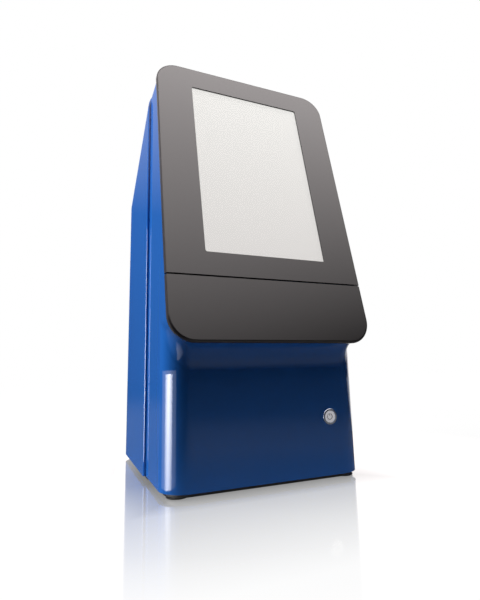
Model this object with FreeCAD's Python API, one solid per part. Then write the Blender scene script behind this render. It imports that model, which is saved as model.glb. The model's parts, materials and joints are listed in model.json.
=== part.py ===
import FreeCAD, Part
import math
import os
from FreeCAD import Placement, Rotation, Vector

# Benchtop chemistry analyzer with a tilted touch screen and a motor driven disc drawer.
# All sizes are in millimetres. +X is to the right, -Y is the front and +Z is up.
# The origin is the middle of the bounding box, on the bench.

# Overall size
body_width = 150.0
body_depth = 203.0
body_height = 322.4

# Moulded shells
wall = 3.0
shell_lift = 3.5
side_step = 2.0
seam_round = 1.6
lip_height = 94.3
panel_setback_share = 0.256
chin_depth = 18.0
chin_radius = 17.5
front_corner_radius = 17.0
panel_corner_radius = 17.5
panel_overhang = 1.5
rear_corner_radius = 22.0
front_shell_share = 0.4
crest_run = 8.0
rear_drop = 62.0
crest_radius = 30.0
brow_radius = 26.0
seam_gap = 0.6
lap_length = 5.0
lap_wall = 1.4
lap_root = 2.5
lap_bite = 0.5

# Fits and cutting allowances
overrun = 6.0
touch = 0.01
fit_gap = 0.3
running_gap = 0.05
slide_gap = 0.4

# Front panel, split into the screen bezel above and the drawer front below
panel_thickness = 4.0
drawer_front_height = 46.5
panel_gap = 1.2
panel_edge_round = 1.6
window_side = 28.2
window_above = 20.0
window_below = 17.5
window_corner_radius = 1.5
glass_recess = 1.2
glass_thickness = 1.8
glass_margin = 3.0
display_thickness = 6.5
display_clearance = 2.0
bracket_thickness = 1.2
bracket_border = 9.0
bracket_window_width_share = 0.56
bracket_window_length_share = 0.6
bracket_window_columns = 2
bracket_window_rows = 3
bracket_post_radius = 3.0
bracket_post_inset = 4.5

# Base, feet and screws
base_thickness = 4.4
base_lift = 1.0
foot_radius = 7.2
foot_chamfer = 1.0
foot_peg_radius = 2.4
foot_peg_rise = 2.0
foot_side = 13.0
foot_front = 12.0
foot_back = 17.0
boss_radius = 5.0
boss_height = 16.0
boss_side = 9.0
front_boss_back = 46.0
rear_boss_inset = 51.0
screw_radius = 1.5
screw_head_radius = 2.8
screw_head_height = 1.4
screw_depth = 9.0
base_vent_count = 7
base_vent_width = 3.0
base_vent_length = 34.0
base_vent_pitch = 7.0
base_vent_back = 128.0

# Decks that carry the drawer and the optics
deck_thickness = 2.5
deck_height = 95.0
deck_side = 9.0
deck_front = 8.0
deck_corner_radius = 8.0
lower_deck_back_gap = 4.0
upper_deck_beyond = 10.0
post_radius = 4.0
post_side = 19.0
post_front = 46.0
post_back = 39.0
deck_window_width = 30.0
deck_window_length = 30.0
deck_window_spread = 20.0
deck_window_radius = 6.0

# Disc drawer
drawer_travel_share = 0.48
tray_side = 23.0
tray_floor = 3.0
tray_height = 21.5
tray_clearance = 15.5
tray_back_wall = 6.0
well_rim = 10.0
well_front_wall = 17.5
well_lip = 1.5
arm_width = 12.0
arm_height = 12.0
rack_end_margin = 14.0
rest_groove_inset = 12.0
rest_groove_width = 2.0
rest_groove_depth = 0.8
opening_gap = 0.8
runner_width = 6.2
runner_height = 5.4
runner_rise = 5.0
runner_setback = 6.0
rail_width = 11.0
rail_groove_depth = 4.0
rail_back = 39.5
rail_overhang = 0.5
rail_slot_gap = 0.3

# Rack and pinion
gear_module = 1.0
pinion_teeth = 18
pressure_angle = 20.0
backlash = 0.24
tip_clearance = 0.25
gear_width = 6.0
rack_back = 4.8
rack_side = 2.0
rack_front = 8.0
pinion_front = 39.5
gear_flank_steps = 5
pinion_hub_radius = 4.0
pinion_hub_height = 2.0

# Drawer gear motor
motor_radius = 11.0
motor_length = 22.0
gearbox_radius = 13.0
gearbox_length = 14.0
motor_boss_radius = 4.5
motor_shaft_radius = 2.0
motor_shaft_grip = 8.0
motor_flange_width = 34.0
motor_flange_thickness = 2.0

# Spindle that turns the reagent disc
spindle_motor_inset = 20.0
spindle_motor_height = 9.0
spindle_motor_round = 1.2
spindle_shaft_radius = 2.0
spindle_shaft_grip = 6.5
bearing_radius = 4.5
bearing_flange_radius = 6.0
bearing_flange_height = 0.8
hub_radius = 9.0
hub_height = 3.4
hub_nose_radius = 5.0
hub_nose_height = 2.6
hub_clearance = 0.4
drive_pin_count = 3
drive_pin_radius = 0.9
drive_pin_height = 1.6
drive_pin_circle = 7.0

# Heater and optics
heater_inset = 1.0
heater_thickness = 1.5
beam_radius = 2.5
beam_inset = 6.0
photometer_width = 60.0
photometer_share = 0.275
photometer_height = 31.0
photometer_front = 12.0
photometer_chamfer = 8.0
splitter_count = 4
splitter_width = 1.6
splitter_depth = 18.0
splitter_pitch_share = 0.17
diode_count = 5
diode_radius = 2.4
diode_height = 3.0
diode_pitch = 10.0
diode_rise = 12.0
board_thickness = 1.6
diode_board_height = 36.0
diode_board_width = 56.0
lamp_width = 26.0
lamp_front = 11.0
lamp_length = 36.0
lamp_height = 13.6
lamp_wall = 2.0
bulb_radius = 3.6
bulb_length = 24.0
lens_radius = 4.0
lens_thickness = 1.4
lens_seat = 0.9
barcode_width = 22.0
barcode_length = 28.0
barcode_height = 14.0
barcode_side = 5.0
barcode_front = 8.0
barcode_snout = 4.0

# Electronics
standoff_radius = 2.8
board_height = 14.0
board_side = 25.0
board_front = 66.5
board_back = 4.5
board_corner_radius = 3.0
standoff_inset = 5.0
standoff_back_inset = 19.5
sink_size = 34.0
sink_base = 2.5
sink_height = 14.0
sink_fins = 7
sink_fin_width = 1.6
sink_inset = 1.0
sink_back = 86.0
chip_size = 14.0
chip_height = 2.2
chip_count = 4
chip_pitch = 20.0
chip_back = 56.0
cap_radius = 5.0
cap_height = 14.0
cap_count = 3
cap_pitch = 13.0
cap_back = 34.0
cap_inset = 10.0
port_reveal = 0.6
usb_width = 13.2
usb_height = 6.6
usb_depth = 14.0
usb_count = 3
usb_pitch_share = 0.2
usb_side_share = 0.42
usb_slot_width = 11.8
usb_slot_height = 5.2
usb_slot_depth = 9.0
usb_tongue = 1.6
network_width = 16.0
network_height = 13.4
network_depth = 18.0
network_side_share = 0.19
network_slot_width = 11.8
network_slot_height = 8.0
network_slot_depth = 12.0
network_slot_rise = 2.4
jack_width = 12.0
jack_height = 11.0
jack_depth = 14.0
jack_side_share = 0.43
jack_bore_radius = 4.4
jack_bore_depth = 9.5
jack_pin_radius = 1.0
speaker_radius = 14.0
speaker_height = 8.0
speaker_magnet_radius = 8.0
speaker_height_shares = (0.25, 0.75)
speaker_inset = 43.0
speaker_front = 28.0

# Rear fan and filter
fan_size = 60.0
fan_depth = 15.0
fan_drop = 159.0
fan_bore_radius = 27.5
fan_corner_radius = 4.0
fan_hole_spacing = 50.0
fan_hole_radius = 2.1
fan_base_radius = 13.0
fan_base_thickness = 2.5
fan_arm_width = 4.0
fan_arm_count = 4
fan_arm_turn = 45.0
fan_hub_radius = 12.5
fan_hub_height = 10.0
fan_shaft_radius = 1.5
fan_shaft_length = 6.0
blade_count = 7
blade_tip_gap = 1.0
blade_thickness = 1.2
blade_root_chord = 10.0
blade_tip_chord = 15.0
blade_root_turn = 42.0
blade_tip_turn = 58.0
fan_rise = 0.6
duct_wall = 5.0
duct_width = 56.0
duct_depth = 3.1
filter_thickness = 3.6
grille_width = 68.0
grille_thickness = 2.0
grille_corner_radius = 5.0
grille_slot_count = 9
grille_slot_length = 50.0
grille_slot_width = 3.2
grille_slot_pitch = 5.6
grille_latch_width = 10.0
grille_latch_drop = 1.0
grille_latch_height = 2.0

# Power button
button_side = 29.1
button_height = 43.2
ring_radius = 5.6
ring_proud = 0.8
ring_barrel_radius = 5.0
ring_barrel_length = 8.0
cap_face_radius = 4.1
cap_proud = 0.5
cap_thickness = 3.0
cap_gap = 0.2
cap_dish = 0.4
cap_dish_shares = (0.75, 0.5)
button_travel = 1.2
stem_radius = 1.5
switch_size = 9.0
switch_depth = 4.5
switch_bore_gap = 0.3
button_board_width = 26.0
button_board_height = 15.0
button_post_radius = 2.5
button_post_spread = 9.5

# Printer behind the door in the rear slope
door_start = 20.0
door_end = 31.8
door_side = 31.0
door_thickness = 2.5
door_gap = 0.5
paper_slot = 1.3
hinge_pin_radius = 1.5
knuckle_radius = 3.0
hinge_sink = 0.2
hinge_margin = 4.0
knuckle_margin = 1.5
ear_width = 4.0
ear_gap = 0.6
bucket_wall = 2.0
bucket_rim_depth = 3.8
bucket_rim_over = 8.0
roll_radius_share = 0.32
roll_side = 15.5
roll_core_radius = 6.0
roll_gap = 0.4
pocket_clearance = 2.0
pocket_cover = 2.5
pocket_side_gap = 3.4
throat_depth = 20.0
platen_radius = 4.5
platen_inset = 0.5
platen_shaft_radius = 1.5
platen_back = 7.5
platen_sink = 8.2
cheek_width = 2.5
cheek_gap = 0.6
cheek_radius = 3.4
head_length = 12.0
head_thickness = 4.0
head_gap = 0.3
tear_teeth = 28
tear_thickness = 0.8
tear_depth = 3.0
tear_tooth_height = 1.0
latch_button_width = 18.0
latch_button_length = 10.0
latch_back = 14.0
latch_sink = 0.2
latch_travel = 2.5
latch_thickness = 1.6
latch_bar_length = 5.0
latch_arm_width = 4.0
latch_arm_side = 3.5
latch_tip_gap = 0.4
latch_gap = 0.3
latch_ridge_count = 3
latch_ridge_height = 0.5
latch_ridge_width = 0.9
latch_ridge_share = 0.75
latch_slot_gap = 0.4

# Places worked out from the driving dimensions
half_width = body_width / 2
front_half_width = half_width - side_step
shell_corner_radius = panel_corner_radius - panel_overhang
front_y = -body_depth / 2
rear_y = body_depth / 2
front_face_y = front_y + chin_depth
seam_y = front_y + body_depth * front_shell_share
crest_y = seam_y + crest_run
panel_setback = body_depth * panel_setback_share
panel_tilt = math.degrees(math.atan2(panel_setback, body_height - lip_height))
panel_slope = math.tan(math.radians(panel_tilt))
panel_length = math.hypot(panel_setback, body_height - lip_height)
slope_angle = math.degrees(math.atan2(rear_drop, rear_y - crest_y))
slope_length = math.hypot(rear_drop, rear_y - crest_y)
base_top = base_lift + base_thickness
deck_top = deck_height + deck_thickness
tray_bottom = deck_top + tray_clearance
tray_top = tray_bottom + tray_height
well_floor = tray_bottom + tray_floor
tray_half_width = half_width - tray_side
well_radius = tray_half_width - well_rim
well_y = front_y + well_front_wall + well_radius
tray_back_y = well_y + well_radius + tray_back_wall
rail_height = tray_clearance + tray_height + deck_thickness
upper_deck_height = deck_top + rail_height
deck_front_y = front_face_y + deck_front
drawer_low = tray_bottom - spindle_motor_height
pinion_radius = gear_module * pinion_teeth / 2
rack_pitch_x = tray_half_width - rack_side - rack_back - gear_module
pinion_x = rack_pitch_x - pinion_radius
pinion_y = front_y + pinion_front
drawer_travel = body_depth * drawer_travel_share
arm_back_y = pinion_y + drawer_travel + rack_end_margin
beam_y = well_y + well_radius - beam_inset
board_top = board_height + board_thickness
port_y = rear_y - port_reveal
board_width = body_width - 2 * board_side
network_side = board_width * network_side_share
jack_side = board_width * jack_side_share
fan_height = body_height - fan_drop
fan_back_y = rear_y - wall - duct_depth
fan_front_y = fan_back_y - fan_depth

# Frame of the tilted panel: local Y runs up the panel and local Z points out of it
panel_frame = Placement(Vector(0, front_y, lip_height), Rotation(Vector(1, 0, 0), 90 - panel_tilt))
# Frame of the rear slope: local Y runs down the slope and local Z points out of it
slope_frame = Placement(Vector(0, crest_y, body_height), Rotation(Vector(1, 0, 0), -slope_angle))


def plan(a, b):
    return Vector(a, b, 0)


def elevation(a, b):
    return Vector(a, 0, b)


def side(a, b):
    return Vector(0, a, b)


# A closed outline with rounded corners, as a face in the given plane
def rounded_face(points, radii, plane):
    corners = []
    for i, radius in enumerate(radii):
        corner = plane(*points[i])
        to_before = (plane(*points[i - 1]) - corner).normalize()
        to_after = (plane(*points[(i + 1) % len(points)]) - corner).normalize()
        if radius <= 0:
            corners.append((corner, corner, corner))
            continue
        half_angle = to_before.getAngle(to_after) / 2
        setback = radius / math.tan(half_angle)
        centre = corner + (to_before + to_after).normalize() * (radius / math.sin(half_angle))
        middle = centre + (corner - centre).normalize() * radius
        corners.append((corner + to_before * setback, middle, corner + to_after * setback))
    edges = []
    for i, (start, middle, end) in enumerate(corners):
        following = corners[(i + 1) % len(corners)][0]
        if (end - start).Length > touch:
            edges.append(Part.Arc(start, middle, end).toShape())
        if (following - end).Length > touch:
            edges.append(Part.makeLine(end, following))
    return Part.Face(Part.Wire(edges))


def block(x0, x1, y0, y1, z0, z1):
    return Part.makeBox(x1 - x0, y1 - y0, z1 - z0, Vector(x0, y0, z0))


def rod_x(radius, x0, x1, y, z):
    return Part.makeCylinder(radius, x1 - x0, Vector(x0, y, z), Vector(1, 0, 0))


def rod_y(radius, y0, y1, x, z):
    return Part.makeCylinder(radius, y1 - y0, Vector(x, y0, z), Vector(0, 1, 0))


def rod_z(radius, z0, z1, x, y):
    return Part.makeCylinder(radius, z1 - z0, Vector(x, y, z0), Vector(0, 0, 1))


# A plate with rounded corners lying between two heights
def plate(x0, x1, y0, y1, z0, z1, radius):
    face = rounded_face([(x0, y0), (x1, y0), (x1, y1), (x0, y1)], [radius] * 4, plan)
    face.translate(Vector(0, 0, z0))
    return face.extrude(Vector(0, 0, z1 - z0))


def joined(first, others):
    return first.fuse(others).removeSplitter()


def in_frame(shape, frame):
    moved = shape.copy()
    moved.Placement = frame.multiply(moved.Placement)
    return moved


# The Y of the plane that lies a given depth behind the panel's face, at a height
def panel_y(height, depth):
    return front_y + (height - lip_height) * panel_slope + depth / math.cos(math.radians(panel_tilt))


# The space between two planes that are parallel to the panel
def panel_slab(depth, far_depth):
    low = -overrun
    high = body_height + overrun
    points = [(panel_y(low, depth), low), (panel_y(low, far_depth), low),
              (panel_y(high, far_depth), high), (panel_y(high, depth), high)]
    face = rounded_face(points, [0] * 4, side)
    face.translate(Vector(-body_width, 0, 0))
    return face.extrude(Vector(2 * body_width, 0, 0))


# Front shell: a rounded head over a narrower column, blended by a concave chin
def front_form(inset, bottom, back):
    half = front_half_width - inset
    column_front = front_face_y + inset
    column_top = lip_height + 2 * panel_corner_radius
    head_bottom = lip_height + panel_overhang + inset
    corner = front_corner_radius - inset
    column = rounded_face([(-half, column_front), (half, column_front), (half, back), (-half, back)],
                          [corner, corner, 0, 0], plan)
    column.translate(Vector(0, 0, bottom))
    column = column.extrude(Vector(0, 0, column_top - bottom))
    head_top = body_height - inset
    head = rounded_face([(-half, head_bottom), (half, head_bottom), (half, head_top), (-half, head_top)],
                        [shell_corner_radius - inset] * 4, elevation)
    head_front = front_y - chin_depth
    head.translate(Vector(0, head_front, 0))
    head = head.extrude(Vector(0, back - head_front, 0))
    form = joined(column, [head]).Solids[0]
    blend_edges = []
    for edge in form.Edges:
        span = edge.BoundBox
        above = span.ZMin > head_bottom - touch and span.ZMax < column_top - touch
        ahead = span.YMin > column_front - touch and span.YMax < column_front + corner + touch
        if above and ahead:
            blend_edges.append(edge)
    return form.makeFillet(chin_radius + inset, blend_edges)


# Rear shell: a block with a slope at the top, rounded all round
def rear_form(inset, bottom, front):
    angle = math.radians(slope_angle)
    top = body_height - inset
    back = rear_y - inset
    offset = inset / math.cos(angle)
    crest = crest_y - (offset - inset) / math.tan(angle)
    brow = body_height - offset - (back - crest_y) * math.tan(angle)
    start = seam_y - body_depth
    points = [(start, bottom), (back, bottom), (back, brow), (crest, top), (start, top)]
    face = rounded_face(points, [0, 0, brow_radius - inset, crest_radius - inset, 0], side)
    half = half_width - inset
    face.translate(Vector(-half, 0, 0))
    form = face.extrude(Vector(2 * half, 0, 0))
    long_edges = []
    for edge in form.Edges:
        span = edge.BoundBox
        on_side = span.XLength < touch
        if on_side and span.ZMax > bottom + touch and span.YMax > start + touch:
            long_edges.append(edge)
    form = form.makeFillet(rear_corner_radius - inset, long_edges)
    keep = block(-body_width, body_width, front, rear_y + overrun, bottom, body_height + overrun)
    return form.common(keep)


# The outline of either shell at the seam, as a prism between two Y values
def seam_prism(shell_half, corner, inset, y0, y1, bottom):
    half = shell_half - inset
    top = body_height - inset
    radius = corner - inset
    face = rounded_face([(-half, bottom), (half, bottom), (half, top), (-half, top)],
                        [0, 0, radius, radius], elevation)
    face.translate(Vector(0, y0, 0))
    return face.extrude(Vector(0, y1 - y0, 0))


# A cut through the panel's wall, given in the panel's own frame
def panel_cut(x0, x1, up0, up1, depth0, depth1, radius):
    return in_frame(plate(x0, x1, up0, up1, -depth1, -depth0, radius), panel_frame)


def screw_bosses(places, shell_half):
    bosses = []
    for x, y in places:
        outward = math.copysign(1, x)
        wall_x = outward * (shell_half - wall / 2)
        web = block(min(x, wall_x), max(x, wall_x), y - boss_radius / 2, y + boss_radius / 2,
                    base_top, base_top + boss_height)
        bosses.append(rod_z(boss_radius, base_top, base_top + boss_height, x, y).fuse(web))
    return bosses


def screw_holes(places, radius, z0, z1):
    return [rod_z(radius, z0, z1, x, y) for x, y in places]


boss_x = half_width - boss_side
front_bosses = [(-boss_x, front_y + front_boss_back), (boss_x, front_y + front_boss_back)]
rear_bosses = [(-boss_x, rear_y - rear_boss_inset), (boss_x, rear_y - rear_boss_inset)]
foot_x = half_width - foot_side
foot_places = [(sx * foot_x, y) for sx in (-1, 1) for y in (front_face_y + foot_front, rear_y - foot_back)]
post_x = half_width - post_side
post_places = [(sx * post_x, y) for sx in (-1, 1) for y in (front_y + post_front, rear_y - post_back)]
button_x = half_width - button_side
button_posts = [button_x - button_post_spread, button_x + button_post_spread]
window_width = body_width - 2 * window_side
window_top = panel_length - window_above
window_bottom = drawer_front_height + window_below
display_half = window_width / 2 + glass_margin
bracket_half = display_half + bracket_border
bracket_posts = [(sx * (bracket_half - bracket_post_inset), up)
                 for sx in (-1, 1)
                 for up in (window_bottom - glass_margin + bracket_post_inset,
                            window_top + glass_margin - bracket_post_inset)]
display_back = glass_recess + glass_thickness + display_thickness
opening_half = tray_half_width + runner_width + opening_gap
board_mount_y = front_face_y + wall + ring_barrel_length + switch_depth - wall / 2


def make_front_housing():
    outer = front_form(0, shell_lift, seam_y).common(panel_slab(panel_thickness, body_depth))
    inner = front_form(wall, shell_lift - overrun, seam_y + overrun)
    inner = inner.common(panel_slab(panel_thickness + wall, 2 * body_depth))
    shell = outer.cut(inner)
    additions = screw_bosses(front_bosses, front_half_width)
    for x in button_posts:
        additions.append(rod_y(button_post_radius, front_face_y + wall / 2, board_mount_y, x, button_height))
    for x, up in bracket_posts:
        post = Part.makeCylinder(bracket_post_radius, display_back - panel_thickness - wall / 2,
                                 Vector(x, up, -display_back))
        additions.append(in_frame(post, panel_frame))
    shell = joined(shell, additions)
    cuts = screw_holes(front_bosses, screw_radius, base_top, base_top + boss_height - wall)
    display_cut = display_half + display_clearance
    cuts.append(panel_cut(-display_cut, display_cut, window_bottom - glass_margin - display_clearance,
                          window_top + glass_margin + display_clearance, panel_thickness - overrun,
                          panel_thickness + wall + touch, display_clearance))
    cuts.append(block(-opening_half, opening_half, front_y - overrun, front_face_y + 2 * wall,
                      drawer_low - opening_gap, tray_top + opening_gap))
    cuts.append(rod_y(ring_barrel_radius + fit_gap / 2, front_face_y - overrun, front_face_y + wall + overrun,
                      button_x, button_height))
    return shell.cut(cuts)


def make_rear_housing():
    front = seam_y + seam_gap
    outer = rear_form(0, shell_lift, front).Solids[0]
    rim = []
    for edge in outer.Edges:
        span = edge.BoundBox
        if span.YMax < front + touch and span.ZMax > shell_lift + touch:
            rim.append(edge)
    outer = outer.makeFillet(seam_round, rim)
    inner = rear_form(wall, shell_lift - overrun, front - overrun)
    shell = outer.cut(inner)
    lip_inset = wall + fit_gap
    hollow_inset = lip_inset + lap_wall
    below = shell_lift - overrun
    lip_bottom = base_top + fit_gap
    lip_front = seam_y - lap_length
    root_back = front + lap_root
    hollow = seam_prism(front_half_width, shell_corner_radius, hollow_inset, lip_front - overrun,
                        root_back + overrun, below)
    root = seam_prism(half_width, rear_corner_radius, wall - lap_bite, front, root_back, lip_bottom)
    lip = seam_prism(front_half_width, shell_corner_radius, lip_inset, lip_front, root_back, lip_bottom)
    root = root.cut(hollow)
    lip = lip.cut(hollow)
    duct_half = duct_width / 2 + duct_wall
    duct_back = rear_y - wall - duct_depth
    duct = block(-duct_half, duct_half, duct_back, rear_y - wall / 2, fan_height - duct_half,
                 fan_height + duct_half)
    shell = joined(shell, [root, lip, duct] + screw_bosses(rear_bosses, half_width))
    grille_half = grille_width / 2 + fit_gap
    cuts = screw_holes(rear_bosses, screw_radius, base_top, base_top + boss_height - wall)
    pocket = rounded_face([(-grille_half, fan_height - grille_half), (grille_half, fan_height - grille_half),
                           (grille_half, fan_height + grille_half), (-grille_half, fan_height + grille_half)],
                          [grille_corner_radius + fit_gap] * 4, elevation)
    pocket.translate(Vector(0, rear_y - grille_thickness, 0))
    cuts.append(pocket.extrude(Vector(0, overrun, 0)))
    cuts.append(block(-duct_width / 2, duct_width / 2, duct_back - overrun, rear_y,
                      fan_height - duct_width / 2, fan_height + duct_width / 2))
    for x in usb_places():
        cuts.append(port_cut(x, usb_width, board_top, usb_height))
    cuts.append(port_cut(network_side, network_width, board_top, network_height))
    cuts.append(port_cut(jack_side, jack_width, board_top, jack_height))
    door_half = door_half_width + door_gap
    opening = plate(-door_half, door_half, door_start - paper_slot, hinge_down + hinge_room,
                    -wall - overrun, overrun, door_gap)
    cuts.append(in_frame(opening, slope_frame))
    return shell.cut(cuts)


def usb_places():
    return [board_width * (i * usb_pitch_share - usb_side_share) for i in range(usb_count)]


def port_cut(x, width, bottom, height):
    return block(x - width / 2 - fit_gap, x + width / 2 + fit_gap, rear_y - wall - overrun, rear_y + overrun,
                 bottom - fit_gap, bottom + height + fit_gap)


# The whole front panel. It stands a little proud of the shell behind it, and its front rim is rounded
def panel_form():
    half = front_half_width + panel_overhang
    outline = rounded_face([(-half, lip_height), (half, lip_height), (half, body_height), (-half, body_height)],
                           [panel_corner_radius] * 4, elevation)
    start = front_y - chin_depth
    outline.translate(Vector(0, start, 0))
    panel = outline.extrude(Vector(0, seam_y - start, 0)).common(panel_slab(0, panel_thickness)).Solids[0]
    rim = []
    for edge in panel.Edges:
        middle = edge.valueAt((edge.FirstParameter + edge.LastParameter) / 2)
        points = [vertex.Point for vertex in edge.Vertexes] + [middle]
        if all(abs(panel_frame.inverse().multVec(point).z) < touch for point in points):
            rim.append(edge)
    return panel.makeFillet(panel_edge_round, rim)


# The front panel is in two pieces, each a band of it between two heights along its slope
def panel_piece(up0, up1):
    band = block(-body_width, body_width, up0, up1, -2 * panel_thickness, panel_thickness)
    return panel_form().common(in_frame(band, panel_frame)).Solids[0]


def make_screen_bezel():
    piece = panel_piece(drawer_front_height, 2 * panel_length)
    half = window_width / 2
    window = panel_cut(-half, half, window_bottom, window_top, -overrun, panel_thickness + overrun,
                       window_corner_radius)
    rebate_half = display_half + fit_gap
    rebate = panel_cut(-rebate_half, rebate_half, window_bottom - glass_margin - fit_gap,
                       window_top + glass_margin + fit_gap, glass_recess, panel_thickness + overrun,
                       window_corner_radius)
    return piece.cut([window, rebate])


def make_touch_glass():
    return panel_cut(-display_half, display_half, window_bottom - glass_margin, window_top + glass_margin,
                     glass_recess, glass_recess + glass_thickness, window_corner_radius)


def make_display():
    return panel_cut(-display_half, display_half, window_bottom - glass_margin, window_top + glass_margin,
                     glass_recess + glass_thickness, display_back, window_corner_radius)


def make_display_bracket():
    low = window_bottom - glass_margin
    high = window_top + glass_margin
    far = display_back + bracket_thickness
    sheet = panel_cut(-bracket_half, bracket_half, low, high, display_back, far, bracket_post_radius)
    holes = []
    column_pitch = 2 * display_half / bracket_window_columns
    row_pitch = (high - low) / bracket_window_rows
    half_x = column_pitch * bracket_window_width_share / 2
    half_up = row_pitch * bracket_window_length_share / 2
    for column in range(bracket_window_columns):
        x = (column + 0.5) * column_pitch - display_half
        for row in range(bracket_window_rows):
            up = low + (row + 0.5) * row_pitch
            holes.append(panel_cut(x - half_x, x + half_x, up - half_up, up + half_up,
                                   display_back - overrun, far + overrun, bracket_post_radius))
    for x, up in bracket_posts:
        hole = Part.makeCylinder(screw_radius + running_gap, 2 * overrun, Vector(x, up, -far - overrun))
        holes.append(in_frame(hole, panel_frame))
    return sheet.cut(holes)


def make_bracket_screws():
    screws = []
    depth = display_back + bracket_thickness
    for x, up in bracket_posts:
        seat = Vector(x, up, -depth - screw_head_height)
        head = Part.makeCylinder(screw_head_radius, screw_head_height, seat)
        screws.append(in_frame(head, panel_frame))
    return Part.makeCompound(screws)


def make_drawer_front():
    return panel_piece(-overrun, drawer_front_height - panel_gap)


# Base plate, feet and the screws that hold the shells to the plate
def make_base_plate():
    gap = wall + fit_gap
    narrow = front_half_width - gap
    wide = half_width - gap
    front = front_face_y + gap
    step_y = seam_y + seam_gap
    back = rear_y - gap
    right_side = [(narrow, front), (narrow, step_y), (wide, step_y), (wide, back)]
    left_side = [(-x, y) for x, y in reversed(right_side)]
    radii = [front_corner_radius - gap, 0, 0, rear_corner_radius - gap]
    face = rounded_face(right_side + left_side, radii + radii[::-1], plan)
    face.translate(Vector(0, 0, base_lift))
    base = face.extrude(Vector(0, 0, base_thickness))
    cuts = screw_holes(front_bosses + rear_bosses, screw_radius + fit_gap, -overrun, base_top + overrun)
    cuts += screw_holes(front_bosses + rear_bosses, screw_head_radius + fit_gap, -overrun,
                        base_lift + screw_head_height)
    cuts += screw_holes(foot_places, foot_peg_radius + running_gap, -overrun, base_top + overrun)
    first = -base_vent_pitch * (base_vent_count - 1) / 2
    for i in range(base_vent_count):
        x = first + i * base_vent_pitch
        y = front_y + base_vent_back
        half = base_vent_width / 2
        cuts.append(plate(x - half, x + half, y - base_vent_length / 2, y + base_vent_length / 2,
                          -overrun, base_top + overrun, half - touch))
    return base.cut(cuts)


def make_feet():
    feet = []
    for x, y in foot_places:
        pad = rod_z(foot_radius, 0, base_lift, x, y)
        bottom = [edge for edge in pad.Edges if edge.BoundBox.ZMax < touch]
        pad = pad.makeChamfer(min(foot_chamfer, base_lift / 2), bottom)
        peg = rod_z(foot_peg_radius, base_lift, base_top + foot_peg_rise, x, y)
        feet.append(pad.fuse(peg).removeSplitter())
    return Part.makeCompound(feet)


def make_base_screws():
    screws = []
    for x, y in front_bosses + rear_bosses:
        head = rod_z(screw_head_radius, base_lift, base_lift + screw_head_height, x, y)
        stem = rod_z(screw_radius - running_gap, base_lift, base_lift + screw_depth, x, y)
        screws.append(head.fuse(stem).removeSplitter())
    return Part.makeCompound(screws)


# Decks and posts
def deck(z0, back, windows, holes):
    half = half_width - deck_side
    sheet = plate(-half, half, deck_front_y, back, z0, z0 + deck_thickness, deck_corner_radius)
    cuts = [plate(x0, x1, y0, y1, z0 - overrun, z0 + deck_thickness + overrun, deck_window_radius)
            for x0, x1, y0, y1 in windows]
    cuts += [rod_z(radius, z0 - overrun, z0 + deck_thickness + overrun, x, y) for radius, x, y in holes]
    return sheet.cut(cuts)


def make_lower_deck():
    back = fan_front_y - lower_deck_back_gap
    window_y = back - deck_window_length - deck_side
    windows = [(x - deck_window_width / 2, x + deck_window_width / 2, window_y, window_y + deck_window_length)
               for x in (-deck_window_spread, deck_window_spread)]
    holes = [(motor_boss_radius + fit_gap, pinion_x, pinion_y)]
    holes += [(screw_radius, x, y) for x, y in post_places]
    return deck(deck_height, back, windows, holes)


def make_upper_deck():
    holes = [(beam_radius + fit_gap, 0, beam_y)]
    back = beam_y - photometer_front + photometer_length + board_thickness + upper_deck_beyond
    return deck(upper_deck_height, back, [], holes)


def make_deck_posts():
    posts = []
    for x, y in post_places:
        post = rod_z(post_radius, base_top, deck_height, x, y)
        bore = rod_z(screw_radius, deck_height - screw_depth, deck_height + overrun, x, y)
        posts.append(post.cut(bore))
    return Part.makeCompound(posts)


def make_deck_screws():
    screws = []
    for x, y in post_places:
        head = rod_z(screw_head_radius, deck_top, deck_top + screw_head_height, x, y)
        stem = rod_z(screw_radius - running_gap, deck_top - screw_depth, deck_top, x, y)
        screws.append(head.fuse(stem).removeSplitter())
    return Part.makeCompound(screws)


# Drawer: tray with a round well for the disc, runners, rack and fixed rails
def make_drawer_tray():
    body = block(-tray_half_width, tray_half_width, front_y, tray_back_y, tray_bottom, tray_top)
    body = body.common(panel_slab(panel_thickness, body_depth))
    arms = [block(sx * tray_half_width - (arm_width if sx > 0 else 0),
                  sx * tray_half_width + (arm_width if sx < 0 else 0),
                  tray_back_y - touch, arm_back_y, tray_bottom, tray_bottom + arm_height) for sx in (-1, 1)]
    body = joined(body, arms)
    well = rod_z(well_radius, well_floor, tray_top + overrun, 0, well_y)
    lead = Part.makeCone(well_radius, well_radius + well_lip, well_lip,
                         Vector(0, well_y, tray_top - well_lip))
    inner_radius = well_radius - rest_groove_inset
    groove = rod_z(inner_radius + rest_groove_width, well_floor - rest_groove_depth, well_floor, 0, well_y)
    groove = groove.cut(rod_z(inner_radius, well_floor - overrun, well_floor + overrun, 0, well_y))
    bore = rod_z(bearing_radius + running_gap, tray_bottom - overrun, well_floor + overrun, 0, well_y)
    beam = rod_z(beam_radius, tray_bottom - overrun, well_floor + overrun, 0, beam_y)
    return body.cut([well, lead, groove, bore, beam])


def make_runners():
    runners = []
    z0 = tray_bottom + runner_rise
    runner_front = panel_y(z0 + runner_height, panel_thickness) + runner_setback
    for sx in (-1, 1):
        edges = sorted([sx * tray_half_width, sx * (tray_half_width + runner_width)])
        runners.append(block(edges[0], edges[1], runner_front, arm_back_y, z0, z0 + runner_height))
    return Part.makeCompound(runners)


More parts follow.
